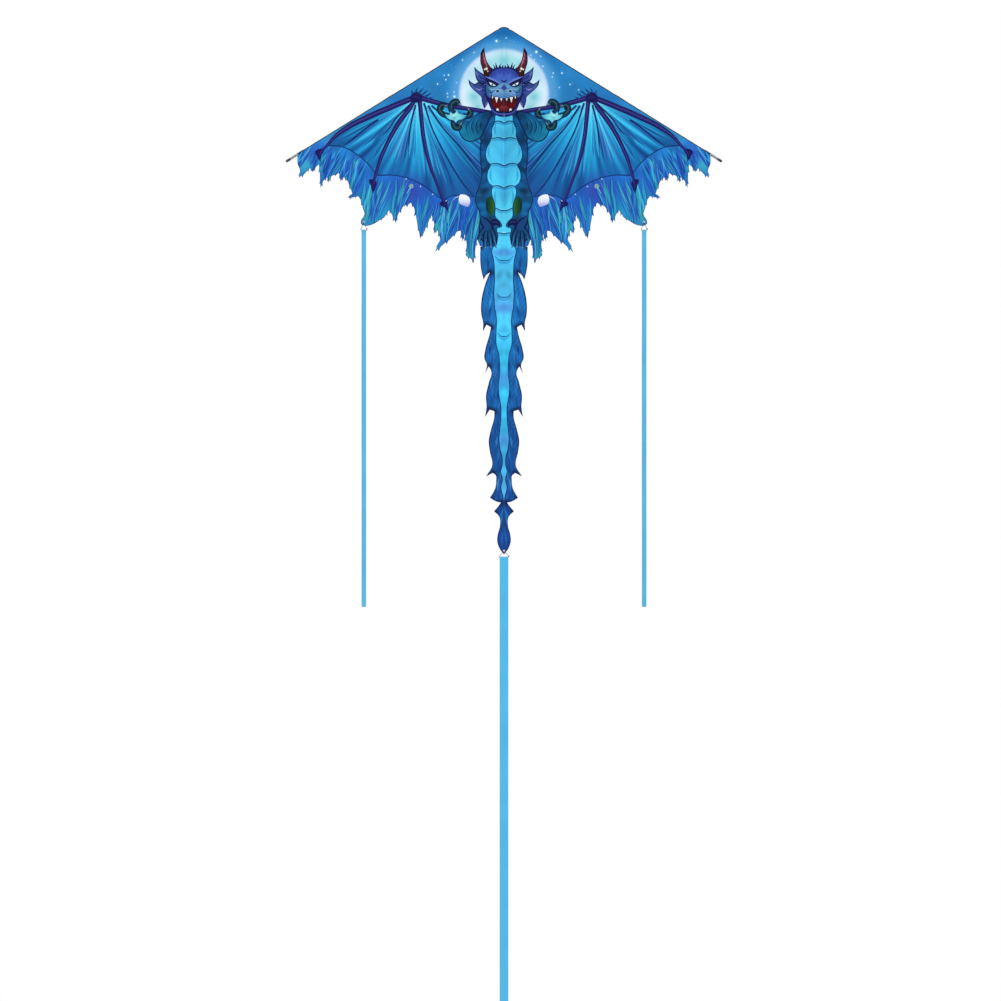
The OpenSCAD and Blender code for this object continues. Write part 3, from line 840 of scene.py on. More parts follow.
# The strands of hair above the forehead: root, middle, tip and width.
HAIR = [((5, 138), (4, 128), (1, 124), 6), ((16, 138), (14, 128), (9, 119), 7),
        ((22, 138), (25, 127), (27, 116), 8), ((29, 140), (31, 131), (36, 121), 6),
        ((12, 138), (11, 131), (14, 124), 5), ((35, 144), (38, 136), (42, 130), 5)]


def head_marks():
    """A generic dragon's head from the front: ear fins, horns, dome, slit eyes, muzzle and open jaws."""
    marks = ear_marks()
    skull = [(-3, 131, 1), (14, 131), (30, 134), (44, 143), (56, 160), (61, 182), (62, 206), (59, 226),
             (51, 244), (44, 262), (34, 278), (17, 289), (-3, 291, 1)]
    marks.append(area(skull, (26, 34, 96), step=4))
    for root, middle, tip, width in HAIR:
        marks.append(brush([root, middle, tip], [width, width * 0.7, 0.7], (22, 30, 92), step=3))
    marks += horn_marks()
    dome = [(-3, 135, 1), (14, 135), (29, 140), (40, 150), (48, 163), (50, 172), (36, 176), (20, 184),
            (-3, 190, 1)]
    marks += [area(dome, ramp((0, 134), (0, 188), (52, 72, 160), (66, 96, 188), (100, 142, 208))),
              spot((14, 158), 15, (102, 134, 206), 0.7),
              spot((42, 152), 14, (40, 52, 130), 0.8)]
    for line in [[(10, 142), (14, 150), (12, 160)], [(26, 144), (30, 154), (26, 164)],
                 [(38, 152), (40, 162), (34, 170)]]:
        marks.append(brush(line, [0.8, 2.4, 0.8], (44, 50, 136), 0.8, step=4))
    cheek = [(-3, 180, 1), (16, 186), (34, 178), (54, 172), (58, 196), (57, 214), (50, 226), (37, 230),
             (18, 232), (-3, 236, 1)]
    marks += [area(cheek, ramp((0, 0), (58, 0), (128, 184, 220), (104, 160, 206), (52, 92, 160))),
              spot((45, 200), 13, (56, 146, 112), 0.85),
              brush([(28, 199), (38, 203), (48, 196)], [1, 4.5, 1], (160, 198, 232), 0.8, step=3),
              brush([(34, 210), (44, 212), (52, 202)], [1, 3, 1], (38, 64, 140), 0.9, step=3)]
    return marks + eye_marks() + muzzle_marks() + jaw_marks()


def eye_marks():
    """A slit eye in its dark socket, under a heavy brow."""
    socket = [(16, 187, 1), (28, 178), (42, 172), (59, 163, 1), (57, 178), (50, 189), (36, 195),
              (24, 193)]
    white = [(26, 190, 1), (35, 184.5), (47, 179, 1), (45, 185), (39, 189.5), (32, 191)]
    return [area(socket, (22, 26, 84)),
            area(white, ramp((26, 0), (46, 0), (206, 232, 244), (244, 250, 246)), step=2),
            dot(37.5, 187, 2.8, (54, 130, 170), squeeze=1.1, count=14),
            dot(37.5, 187, 1.4, (12, 14, 40), squeeze=2.1),
            brush([(12, 183), (28, 175), (42, 168), (60, 161)], [1, 6, 5.5, 1], (118, 144, 216),
                  step=4),
            brush([(14, 187), (28, 179.5), (44, 172), (60, 165)], [1, 4, 4, 1], (20, 22, 74), step=4),
            brush([(-3, 179), (5, 176.5), (11, 170)], [4.4, 4.2, 1.4], (28, 32, 104), step=3)]


def muzzle_marks():
    """The muzzle with its nostril, the ridge of the nose and a few dots."""
    muzzle = [(-3, 200, 1), (10, 200), (22, 201), (32, 207), (40, 216), (42, 224), (30, 228), (16, 230),
              (-3, 233, 1)]
    ridge = [(-3, 187, 1), (0, 187, 1), (7.5, 197), (0, 208, 1), (-3, 208, 1)]
    light = [(-3, 190, 1), (0, 190, 1), (5, 197), (0, 204, 1), (-3, 204, 1)]
    marks = [area(muzzle, (46, 76, 152)),
             area(scaled(muzzle, 0.88), ramp((0, 200), (0, 232), (150, 200, 228), (100, 150, 206))),
             dot(20, 206.5, 8.2, (150, 196, 228), squeeze=0.72, count=18),
             dot(20.5, 208, 5.2, (16, 22, 66), squeeze=0.66, count=16),
             area(ridge, (30, 44, 118), step=2),
             area(light, (92, 98, 188), step=2)]
    for x, depth in [(29, 218), (22, 221), (34, 221), (12, 222), (26, 224)]:
        marks.append(dot(x, depth, 1.3, (46, 78, 150), 0.9, count=8))
    return marks


def jaw_marks():
    """The open mouth with its tongue and fangs, and the two lines of the lower jaw."""
    mouth = [(-3, 232, 1), (14, 230), (30, 227), (42, 222, 1), (40, 240), (34, 257), (25, 268),
             (12, 273), (-3, 274, 1)]
    tongue = [(-3, 258, 1), (8, 256), (15, 262), (12, 270), (-3, 272, 1)]
    marks = [area(scaled(mouth, 1.06), (30, 12, 44)),
             area(mouth, ramp((0, 226), (0, 276), (50, 4, 14), (128, 16, 20), (100, 8, 18))),
             area(tongue, ramp((0, 256), (0, 272), (178, 64, 58), (120, 20, 26)), 0.95)]
    for fang in [[(18, 228, 1), (29, 226.5, 1), (24, 246, 1)],
                 [(5, 231, 1), (12.5, 230.5, 1), (9, 241, 1)],
                 [(34, 226, 1), (39, 224, 1), (37, 233, 1)],
                 [(17, 272, 1), (18.5, 264), (23, 263.5), (25, 269, 1)]]:
        marks += [area(scaled(fang, 1.28), (44, 8, 24), 0.9),
                  area(fang, (250, 250, 246))]
    return marks + [brush([(44, 254), (34, 274), (18, 282), (-3, 284)], [3, 7, 9, 10], (46, 54, 138),
                          step=3),
                    brush([(38, 266), (28, 277), (14, 281), (-3, 282)], [1, 2.4, 3, 3],
                          (118, 122, 204), step=3)]


def sail_marks(side, tips, cut):
    """Everything that is printed on one half of the sail, from the back of the picture to its front."""
    return (sky_marks(side) + wing_marks() + flame_marks(tips) + hem_marks(cut)
            + scallop_marks((20, 58, 124)) + bone_marks() + spark_marks() + trunk_marks() + arm_marks()
            + head_marks() + foot_marks())


# The belly stripe down the dragon tail: half its width at each depth.
STRIPE = [(20, 640), (21, 690), (37, 718), (32, 750), (29, 813), (31, 858), (29, 896), (23, 940),
          (24.5, 991), (24, 1020), (16, 1051), (12.7, 1083), (14, 1130), (17, 1162), (13.5, 1194),
          (9.5, 1215), (9, 1265), (12.6, 1298), (14.4, 1331), (11.5, 1357), (4.5, 1383), (4.5, 1409),
          (9, 1429), (3.6, 1455), (8.5, 1481), (2.5, 1508), (0, 1524)]

# The belly's curved plates on the tail: the stripe's half width, the depth and how far each sags.
SMILES = [(30, 738, 14), (25, 858, 12), (21, 986, 10)]


def tail_marks(outline):
    """The dragon tail: blue fins with darker tips, a dark rim that follows the cut, the belly stripe
    and the feet."""
    ground = mottled(mottled(ramp((0, 700), (0, 1700), (26, 112, 176), (34, 118, 184), (30, 102, 170),
                                  (28, 92, 160), (24, 80, 154)), 60, 0.06, 81), 5, 0.12, 82)
    everywhere = [(-4, 690, 1), (130, 690, 1), (130, 1710, 1), (-4, 1710, 1)]
    marks = [area(everywhere, ground, step=90)]
    dice = np.random.default_rng(83)
    shades = [(16, 50, 120), (44, 140, 206), (22, 76, 150), (60, 118, 196), (14, 62, 128),
              (86, 168, 220)]
    for depth in np.arange(716, 1660, 13.5):
        reach = outline_half(outline, depth)
        inner = stripe_half(depth) + 2
        if reach < 9:
            continue
        x = dice.uniform(inner, max(inner + 3, reach * 0.8))
        sway = dice.uniform(0, 9)
        line = [(x, depth - 22), (x + sway * 0.7, depth - 4), (min(x + sway, reach - 2), depth + 18)]
        marks.append(brush(line, [0.6, dice.uniform(3, 7), 0.6], shades[dice.integers(6)],
                           dice.uniform(0.4, 0.8), step=7))
    for x, depth, *corner in rounded_cut(outline):
        if corner and x > 6:
            marks.append(spot((x, depth), 17, (10, 18, 46)))
    for (ax, ay), (bx, by) in zip(outline, outline[1:]):
        if ay > 708 and by > 708:
            marks.append(brush([(ax, ay), ((ax + bx) / 2, (ay + by) / 2), (bx, by)], [6, 6, 6],
                               (16, 34, 104), 0.9, step=9))
    return marks + stripe_marks() + foot_marks()


def stripe_marks():
    """The pale belly stripe down the tail, in a dark outline, with violet patches and curved plates."""
    stripe = [(-4, 640, 1), (20, 640, 1)] + STRIPE[1:-1] + [(0, 1524, 1), (-4, 1524, 1)]
    wider = [(x + 2.6 if x > 0 else x, depth, *corner) for x, depth, *corner in stripe]
    cyan = mottled(ramp((0, 650), (0, 1530), (80, 206, 244), (90, 190, 236), (66, 200, 240),
                        (70, 186, 230), (96, 182, 230)), 26, 0.1, 85)
    marks = [area(wider, (14, 48, 112), step=5),
             area(stripe, cyan, step=5)]
    for depth, reach in ((726, 24), (904, 34), (1130, 50), (1330, 40)):
        marks.append(shape(stripe_patch(depth, reach), (92, 146, 222), band(depth, reach / 2, 0.6)))
    for half, depth, drop in SMILES:
        low = depth + drop
        marks += [brush([(half - 1, depth + 8), (half * 0.5, low + 5), (-3, low + 8)], [2, 7, 8],
                        (56, 140, 204), 0.5),
                  brush([(half - 1, depth), (half * 0.5, low - 1.5), (-3, low)], [1.6, 3, 3.6],
                        (22, 96, 158), step=4)]
    return marks


def stripe_patch(depth, reach):
    """The part of the belly stripe near one depth."""
    side = [(stripe_half(d) - 1, d) for d in np.linspace(depth - reach, depth + reach, 9)]
    return curve([(-4, side[0][1], 1), (*side[0], 1), *side[1:-1], (*side[-1], 1),
                  (-4, side[-1][1], 1)], step=6)


def outline_half(outline, depth):
    """Half of the tail's width at a depth."""
    near_rows = outline[np.abs(outline[:, 1] - depth) < 16]
    return float(near_rows[:, 0].min()) if len(near_rows) else 0.0


def stripe_half(depth):
    """Half of the belly stripe's width at a depth."""
    return float(np.interp(depth, [p[1] for p in STRIPE], [p[0] for p in STRIPE]))


# ---------- materials ----------

def new_material(name):
    """A material with its shader, and helpers that add a node and join two sockets."""
    material = bpy.data.materials.new(name)
    material.use_nodes = True
    tree = material.node_tree
    shader = tree.nodes["Principled BSDF"]

    def node(kind, **values):
        made = tree.nodes.new("ShaderNode" + kind)
        for key, value in values.items():
            if hasattr(made, key):
                setattr(made, key, value)
            else:
                made.inputs[key].default_value = value
        return made

    def join(a, b):
        tree.links.new(a, b)
    return material, shader, node, join


def linear(rgb):
    """A colour on the 0 to 255 scale as the linear colour that a shader takes."""
    c = np.asarray(rgb, float) / 255
    return np.where(c <= 0.04045, c / 12.92, ((c + 0.055) / 1.055) ** 2.4)


def rgba(rgb):
    """A colour on the 0 to 255 scale as an opaque shader colour."""
    return (*linear(rgb), 1)


def maths(node, join, operation, a, b=None):
    """A maths node fed by sockets or numbers."""
    made = node("Math", operation=operation)
    for socket, value in zip(made.inputs, (a, b)):
        if value is None:
            continue
        if isinstance(value, (int, float)):
            socket.default_value = value
        else:
            join(value, socket)
    return made.outputs[0]


def tinted(node, join, kind, share, a, b):
    """Two colours mixed by a share; each is a socket or a colour."""
    made = node("Mix", data_type="RGBA", blend_type=kind)
    for socket, value in ((made.inputs[0], share), (made.inputs[6], a), (made.inputs[7], b)):
        if isinstance(value, (int, float, tuple)):
            socket.default_value = value
        else:
            join(value, socket)
    return made.outputs[2]


def noise(node, join, vector, scale, detail=3.0, stretch=(1, 1, 1)):
    """A noise texture over the places that a socket gives."""
    mapping = node("Mapping")
    mapping.inputs["Scale"].default_value = stretch
    join(vector, mapping.inputs["Vector"])
    made = node("TexNoise", Scale=scale, Detail=detail)
    join(mapping.outputs[0], made.inputs["Vector"])
    return made.outputs["Fac"]


def roughened(node, join, shader, share, limits):
    """A roughness on the shader, which a share moves from its lowest to its highest."""
    spread = node("MapRange")
    spread.inputs["To Min"].default_value, spread.inputs["To Max"].default_value = limits
    join(share, spread.inputs["Value"])
    join(spread.outputs[0], shader.inputs["Roughness"])


def bumped(node, join, shader, height, strength, distance):
    """A bump on the shader, from a height."""
    bump = node("Bump", Strength=strength, Distance=distance)
    join(height, bump.inputs["Height"])
    join(bump.outputs[0], shader.inputs["Normal"])


def ramped(node, join, value, *stops):
    """A colour ramp; each stop is a place and a colour."""
    made = node("ValToRGB")
    ramp_stops = made.color_ramp.elements
    while len(ramp_stops) < len(stops):
        ramp_stops.new(0.5)
    for element, (place, colour) in zip(ramp_stops, stops):
        element.position = place
        element.color = rgba(colour)
    join(value, made.inputs["Fac"])
    return made.outputs["Color"]


# The weave's threads and the ripstop's lines in a metre, and a line's share of the grid.
THREADS_PER_M = 1600
RIPSTOP_PER_M = 190
RIPSTOP_LINE = 0.08


def cloth_material(name, base=None, dark=None, ripstop=0.1, roughness=(0.5, 0.64), sheen=0.15,
                   shine=0.25, threads=1.0):
    """Woven polyester with a ripstop grid. With no base colour it shows the print."""
    material, shader, node, join = new_material(name)
    flat_place = node("UVMap", uv_map="flat").outputs["UV"]
    parts = node("SeparateXYZ")
    join(flat_place, parts.inputs[0])
    across, along = parts.outputs["X"], parts.outputs["Y"]
    drift = noise(node, join, flat_place, 9.0)
    fibre = noise(node, join, flat_place, 900.0, 2.0)
    if base is None:
        colour = node("VertexColor", layer_name="print").outputs["Color"]
    else:
        colour = ramped(node, join, drift, (0.3, dark or base), (0.7, base))
    grid = None
    for place in (across, along):
        share = maths(node, join, "FRACT", maths(node, join, "MULTIPLY", place, float(RIPSTOP_PER_M)))
        line = maths(node, join, "LESS_THAN", share, RIPSTOP_LINE)
        grid = line if grid is None else maths(node, join, "MAXIMUM", grid, line)
    faded = maths(node, join, "MULTIPLY", grid, ripstop)
    colour = tinted(node, join, "MULTIPLY", faded, colour, (0.35, 0.4, 0.5, 1))
    speck = maths(node, join, "MULTIPLY", fibre, 0.12)
    colour = tinted(node, join, "MULTIPLY", speck, colour, (0.55, 0.55, 0.6, 1))
    join(colour, shader.inputs["Base Color"])
    weave = None
    for place in (across, along):
        wave = maths(node, join, "SINE", maths(node, join, "MULTIPLY", place,
                                               THREADS_PER_M * 2 * math.pi * threads))
        weave = wave if weave is None else maths(node, join, "MULTIPLY", weave, wave)
    height = maths(node, join, "ADD", maths(node, join, "MULTIPLY", weave, 0.3),
                   maths(node, join, "MULTIPLY", grid, 1.0))
    bumped(node, join, shader, height, 0.12, 0.0001)
    roughened(node, join, shader, drift, roughness)
    shader.inputs["Sheen Weight"].default_value = sheen
    shader.inputs["Sheen Roughness"].default_value = 0.4
    shader.inputs["Specular IOR Level"].default_value = shine
    return material


def solid_material(name, light, dark, scale, stretch, roughness, metallic=0.0, bump=0.2, depth=0.0001,
                   coat=0.0):
    """Moulded, drawn or plated material whose grain runs along one axis of the object."""
    material, shader, node, join = new_material(name)
    place = node("TexCoord").outputs["Object"]
    grain = noise(node, join, place, scale, 6.0, stretch)
    worn = noise(node, join, place, scale * 0.12, 3.0)
    colour = ramped(node, join, grain, (0.35, dark), (0.65, light))
    rub = ramped(node, join, worn, (0.45, (255, 255, 255)), (0.75, (205, 205, 205)))
    join(tinted(node, join, "MULTIPLY", 1.0, colour, rub), shader.inputs["Base Color"])
    roughened(node, join, shader, grain, roughness)
    shader.inputs["Metallic"].default_value = metallic
    shader.inputs["Coat Weight"].default_value = coat
    bumped(node, join, shader, grain, bump, depth)
    return material


def cord_material(name, light, dark):
    """Twisted polyester cord: fine fibres over its strands."""
    material, shader, node, join = new_material(name)
    place = node("TexCoord").outputs["Object"]
    fibre = noise(node, join, place, 2600.0, 4.0)
    join(ramped(node, join, fibre, (0.35, dark), (0.65, light)), shader.inputs["Base Color"])
    bumped(node, join, shader, fibre, 0.3, 0.0001)
    shader.inputs["Roughness"].default_value = 0.8
    shader.inputs["Sheen Weight"].default_value = 0.25
    return material


PRINTED = cloth_material("printed_polyester", sheen=0.02, shine=0.08)
HEM_TAPE = cloth_material("black_tape", (34, 38, 48), (22, 25, 33), ripstop=0.0, roughness=(0.6, 0.75),
                          threads=0.6)
KEEL_CLOTH = cloth_material("sky_blue_ripstop", (88, 186, 232), (74, 170, 220), ripstop=0.3)
KEEL_EDGE = cloth_material("navy_tape", (44, 62, 118), (34, 48, 98))
RIBBON_CLOTH = cloth_material("ribbon_polyester", (84, 188, 234), (74, 178, 226), ripstop=0.12,
                              sheen=0.2)
SIDE_RIBBON_CLOTH = cloth_material("side_ribbon_polyester", (94, 182, 220), (86, 172, 212),
                                   ripstop=0.12, sheen=0.2)
THREAD = cord_material("sewing_thread", (58, 122, 178), (40, 92, 146))
CORD = cord_material("black_cord", (44, 50, 64), (20, 24, 34))

# The rods' grain runs along them: the spine rod stands upright, and the others lie across.
ROD = solid_material("pultruded_fibreglass", (30, 31, 34), (12, 12, 14), 420.0, (1, 1, 0.05),
                     (0.28, 0.45), coat=0.3)
EDGE_ROD = solid_material("pultruded_fibreglass_edge", (30, 31, 34), (12, 12, 14), 420.0, (0.3, 1, 0.3),
                          (0.28, 0.45), coat=0.3)
NYLON = solid_material("moulded_nylon", (40, 41, 44), (26, 27, 30), 900.0, (1, 1, 1), (0.42, 0.6))
VINYL = solid_material("vinyl", (30, 30, 31), (18, 18, 19), 600.0, (1, 1, 1), (0.5, 0.7), bump=0.3)
NICKEL = solid_material("nickel_plate", (206, 204, 198), (176, 176, 174), 500.0, (1, 0.2, 1),
                        (0.16, 0.32), metallic=1.0, bump=0.05)

HARD_NODES = {
    "spine_rod": ROD, "spreader_rod": EDGE_ROD, "left_edge_rod": EDGE_ROD, "right_edge_rod": EDGE_ROD,
    "spine_caps": VINYL, "spreader_caps": VINYL, "left_upper_cap": VINYL, "right_upper_cap": VINYL,
    "left_tip_nock": NYLON, "right_tip_nock": NYLON, "left_stop_rings": VINYL,
    "right_stop_rings": VINYL, "left_edge_clip": NYLON, "right_edge_clip": NYLON,
    "centre_clip": NYLON, "keel_eyelet": NICKEL, "left_tail_eyelet": NICKEL,
    "right_tail_eyelet": NICKEL, "tail_eyelet": NICKEL,
}
for hard_node, hard_material in HARD_NODES.items():
    NODES[hard_node].data.materials.clear()
    NODES[hard_node].data.materials.append(hard_material)


# ---------- mesh helpers ----------

def make_piece(name, points, faces, material, flat_places=None, colours=None):
    """A mesh object from points in millimetres about the nose. The flat places feed the weave."""
    mesh = bpy.data.meshes.new(name)
    mesh.from_pydata(placed(points).tolist(), [], [list(map(int, f)) for f in faces])
    mesh.materials.append(material)
    mesh.update()
    corner_points = np.zeros(len(mesh.loops), int)
    mesh.loops.foreach_get("vertex_index", corner_points)
    if flat_places is None:
        flat_places = np.asarray(points, float)[:, [0, 2]]
    uv = mesh.uv_layers.new(name="flat")
    uv.data.foreach_set("uv", (np.asarray(flat_places)[corner_points] * MM).astype(np.float32).ravel())
    if colours is not None:
        layer = mesh.color_attributes.new("print", "FLOAT_COLOR", "CORNER")
        values = np.ones((len(mesh.loops), 4), np.float32)
        values[:, :3] = linear(np.clip(colours, 0, 1) * 255)
        layer.data.foreach_set("color", values.ravel())
    mesh.shade_smooth()
    piece = bpy.data.objects.new(name, mesh)
    bpy.context.scene.collection.objects.link(piece)
    return piece


def loft(rings, capped=True):
    """Points and faces of a skin over rings of equal length, which run clockwise along the loft."""
    rings = np.asarray(rings, float)
    count, size, _ = rings.shape
    faces = []
    for i in range(count - 1):
        for j in range(size):
            a, b = i * size + j, i * size + (j + 1) % size
            faces.append((a, a + size, b + size, b))
    if capped:
        faces.append(tuple(range(size)))
        faces.append(tuple(range((count - 1) * size, count * size))[::-1])
    return rings.reshape(-1, 3), faces


def thick_line(line, thickness):
    """A closed outline that follows a line on both sides, half the thickness away."""
    side = normals(np.asarray(line, float)) * thickness / 2
    return np.concatenate([line + side, (line - side)[::-1]])


def merged(parts):
    """Several (points, faces) as one."""
    points, faces, start = [], [], 0
    for part_points, part_faces in parts:
        points.append(part_points)
        faces += [tuple(i + start for i in face) for face in part_faces]
        start += len(part_points)
    return np.concatenate(points), faces


# A stitch: its thickness, how many sides it has, and its roundness at each place along its length.
STITCH_THICK = 0.5
STITCH_SIDES = 6
STITCH_SHAPE = [(-0.5, 0.25), (-0.36, 0.8), (0, 1.0), (0.36, 0.8), (0.5, 0.25)]


def stitches(line, out, pitch=3.2, length=2.5, swing=0.0):
    """A row of stitches along a 3D line, raised towards "out". With a swing they zigzag."""
    line = np.asarray(line, float)
    reach = distance_along(line)
    count = max(1, int(reach[-1] / pitch))
    middles = (np.arange(count) + 0.5) * reach[-1] / count
    out = np.asarray(out, float)
    turns = np.linspace(0, 2 * math.pi, STITCH_SIDES, endpoint=False)
    parts = []
    for i, middle in enumerate(middles):
        ends = [np.array([np.interp(s, reach, line[:, k]) for k in range(3)])
                for s in (middle - length / 2, middle + length / 2)]
        along = ends[1] - ends[0]
        along /= np.linalg.norm(along)
        across = np.cross(out, along)
        lean = swing * (1 if i % 2 else -1)
        direction = along * length + across * lean
        centre = (ends[0] + ends[1]) / 2
        width = np.cross(out, direction)
        width /= np.linalg.norm(width)
        rings = []
        for t, r in STITCH_SHAPE:
            heart = centre + direction * t
            rings.append([heart + STITCH_THICK / 2 * r * (width * math.cos(a) + out * math.sin(a) * 0.8)
                          for a in turns])
        parts.append(loft(rings))
    return merged(parts)


def tube(line, radius, sides=10, strands=0, lay=9.0, closed=False):
    """A round tube along a 3D line, or with strands a twisted cord of that many strands."""
    line = np.asarray(line, float)
    along = np.gradient(line, axis=0)
    if closed:
        along = np.roll(line, -1, axis=0) - np.roll(line, 1, axis=0)
    along /= np.linalg.norm(along, axis=1, keepdims=True)
    reach = distance_along(line)
    up = np.array([0.13, 0.9, 0.4])
    turn = np.linspace(0, 2 * math.pi, sides, endpoint=False)
    rings = []
    for i, point in enumerate(line):
        side = np.cross(along[i], up)
        side /= np.linalg.norm(side)
        up = np.cross(side, along[i])
        size = radius
        if strands:
            twist = reach[i] / lay * 2 * math.pi
            size = radius * (0.86 + 0.14 * np.abs(np.cos(strands / 2 * (turn - twist))))
        rings.append(point + (np.cos(turn) * size)[:, None] * side
                     + (np.sin(turn) * size)[:, None] * up)
    points, faces = loft(rings, capped=not closed)
    if closed:
        last = (len(line) - 1) * sides
        faces += [(last + j, j, (j + 1) % sides, last + (j + 1) % sides) for j in range(sides)]
    return points, faces


def settle(piece, body, replaces=()):
    """Puts a piece on its body, and hides the CAD nodes that it stands for."""
    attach(piece, body)
    if replaces:
        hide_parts(*replaces)
    return piece


def sewn(name, rows, body):
    """Rows of stitches as one piece of thread, on its body."""
    return settle(make_piece(name, *merged(rows), THREAD), body)


# ---------- printed cloth ----------

# The cloth's thickness, the print's contrast, and how far it fades towards the back's tint.
CLOTH_THICKNESS = 0.22
BACK_FADE = 0.3
INK_CONTRAST = 1.14
BACK_TINT = (196, 220, 232)


def smoothstep(value, start, end):
    """A share that rises smoothly from 0 at the start to 1 at the end."""
    t = np.clip((value - start) / (end - start), 0, 1)
    return t * t * (3 - 2 * t)


def filled(outline, holes, marks, spacing, fine=(), extra=()):
    """Triangles that fill an outline and follow every printed edge: (points, triangles).
    "fine" lists areas with their own spacing, and "extra" holds more points."""
    points, edges = [], []
    for line in [outline, *holes] + [m.outline for m in marks if m.outline is not None]:
        steps = np.linalg.norm(line - np.roll(line, 1, axis=0), axis=1)
        kept = line[steps > 0.35]
        start = len(points)
        points += kept.tolist()
        edges += [(start + i, start + (i + 1) % len(kept)) for i in range(len(kept))]
    for low, high, step in [(outline.min(0), outline.max(0), spacing), *fine]:
        rows = np.arange(low[1] + step / 2, high[1], step * 0.87)
        for i, row in enumerate(rows):
            columns = np.arange(low[0] + step * (0.25 if i % 2 else 0.75), high[0], step)
            points += [(x, row) for x in columns]
    points += list(extra)
    spots = np.array(points, float)
    keep = np.ones(len(spots), bool)
    keep[len(edges):] = inside(spots[len(edges):], outline)
    spots = spots[keep]
    found = delaunay_2d_cdt([Vector(p) for p in spots], edges, [], 0, 1e-3)
    made = np.array([v[:] for v in found[0]])
    triangles = np.array([f for f in found[2] if len(f) == 3])
    middles = made[triangles].mean(axis=1)
    keep = inside(middles, outline)
    for hole in holes:
        keep &= ~inside(middles, hole)
    triangles = triangles[keep]
    a, b, c = (made[triangles[:, k]] for k in range(3))
    twice_area = (b[:, 0] - a[:, 0]) * (c[:, 1] - a[:, 1]) - (b[:, 1] - a[:, 1]) * (c[:, 0] - a[:, 0])
    triangles = triangles[np.abs(twice_area) > 1e-5]
    used, renumbered = np.unique(triangles, return_inverse=True)
    return made[used], renumbered.reshape(-1, 3)


def printed(points, triangles, marks):
    """The print's colour at each corner of each triangle."""
    corners = points[triangles]
    middles = corners.mean(axis=1)
    spots = corners.reshape(-1, 2)
    colour = np.zeros((len(spots), 3))
    for mark in marks:
        if mark.outline is None:
            rows = np.arange(len(spots))
        else:
            rows = (np.nonzero(inside(middles, mark.outline))[0][:, None] * 3 + np.arange(3)).ravel()
        if not len(rows):
            continue
        if callable(mark.strength):
            strength = mark.strength(spots[rows])
        else:
            strength = np.full(len(rows), mark.strength)
        some = strength > 0.003
        rows, strength = rows[some], strength[some]
        if len(rows):
            colour[rows] += (mark.tint(spots[rows]) - colour[rows]) * strength[:, None]
    return np.clip(colour, 0, 1) ** INK_CONTRAST


def cloth_piece(name, flat_shape, place, front, material, marks=(), thickness=CLOTH_THICKNESS):
    """A closed thin solid of cloth. place(points, depth_in) puts flat points in 3D, on the cloth's front
    face or "depth_in" behind it, and front is the way that the front face looks."""
    points, triangles = flat_shape
    near_side, far_side = place(points, 0.0), place(points, thickness)
    a, b, c = (near_side[triangles[:, k]] for k in range(3))
    wrong = np.cross(b - a, c - a) @ np.array(front, float) < 0
    triangles = triangles.copy()
    triangles[wrong] = triangles[wrong][:, ::-1]
    halves = np.concatenate([triangles[:, [0, 1]], triangles[:, [1, 2]], triangles[:, [2, 0]]])
    keys = halves[:, 0].astype(np.int64) * len(points) + halves[:, 1]
    back_keys = halves[:, 1].astype(np.int64) * len(points) + halves[:, 0]
    lone = np.nonzero(~np.isin(back_keys, keys))[0]
    count = len(points)
    walls = np.stack([halves[lone, 1], halves[lone, 0], halves[lone, 0] + count,
                      halves[lone, 1] + count], axis=1)
    faces = triangles.tolist() + (triangles[:, ::-1] + count).tolist() + walls.tolist()
    colours = None
    if marks:
        ink = printed(points, triangles, marks)
        faded = ink + (np.array(BACK_TINT) / 255 - ink) * BACK_FADE
        through = faded.reshape(-1, 3, 3)[:, ::-1].reshape(-1, 3)
        of_triangle = lone % len(triangles)
        first = lone // len(triangles)
        start_ink = ink[of_triangle * 3 + first]
        end_ink = ink[of_triangle * 3 + (first + 1) % 3]
        wall_ink = np.stack([end_ink, start_ink, start_ink, end_ink], axis=1).reshape(-1, 3)
        colours = np.concatenate([ink, through, wall_ink])
    both = np.concatenate([near_side, far_side])
    piece = make_piece(name, both, faces, material, np.concatenate([points, points]), colours)
    sharpen(piece)
    return piece


def sharpen(piece, degrees=40):
    """Keeps the cut edges of thin cloth crisp under smooth shading."""
    piece.data.set_sharp_from_angle(angle=math.radians(degrees))


# The edge's direction, the band beside the spine where a wing folds and its cloth is meshed finer, and
# the side ribbon's eyelet.
COS, SIN = math.cos(EDGE_SLOPE), math.sin(EDGE_SLOPE)
FOLD_START, FOLD_END = 12, 24
SIDE_EYELET = (450, 628)
EYELET_HOLE = 2.2
EYELET_CLEAR = 34
SIDE_TIP = (452, 644)

# The printed cloth laps over the edge's tape: what is left of the tape, and how far the cloth is raised.
EDGE_LEFT = 0.4
LAP_RISE = 0.42

# The mesh is finer over the dragon's face than over the rest of the sail.
SAIL_SPACING = 6.5
FACE_SPACING = 3.6
FACE_AREA = ((0, 110), (115, 300), FACE_SPACING)


def sail_outline():
    """The right half of the sail, from the CAD panels: across, and down from the nose."""
    wing = rim("right_panel", (0, 2)) * (1, -1)
    centre = rim("centre_panel", (0, 2)) * (1, -1)
    inner = wing[:, 0] < wing[:, 0].min() + 0.1
    first = np.nonzero(inner & ~np.roll(inner, 1))[0][0]
    wing = np.roll(wing, -first, axis=0)[inner.sum():]
    if wing[0, 1] < wing[-1, 1]:
        wing = wing[::-1]
    top = centre[(centre[:, 0] > 0.01) & (centre[:, 1] < 100)]
    top = top[np.argsort(-top[:, 0])]
    nose = centre[:, 1].min()
    foot = centre[:, 1].max()
    return np.concatenate([[[0, foot]], wing, top, [[0, nose]]])


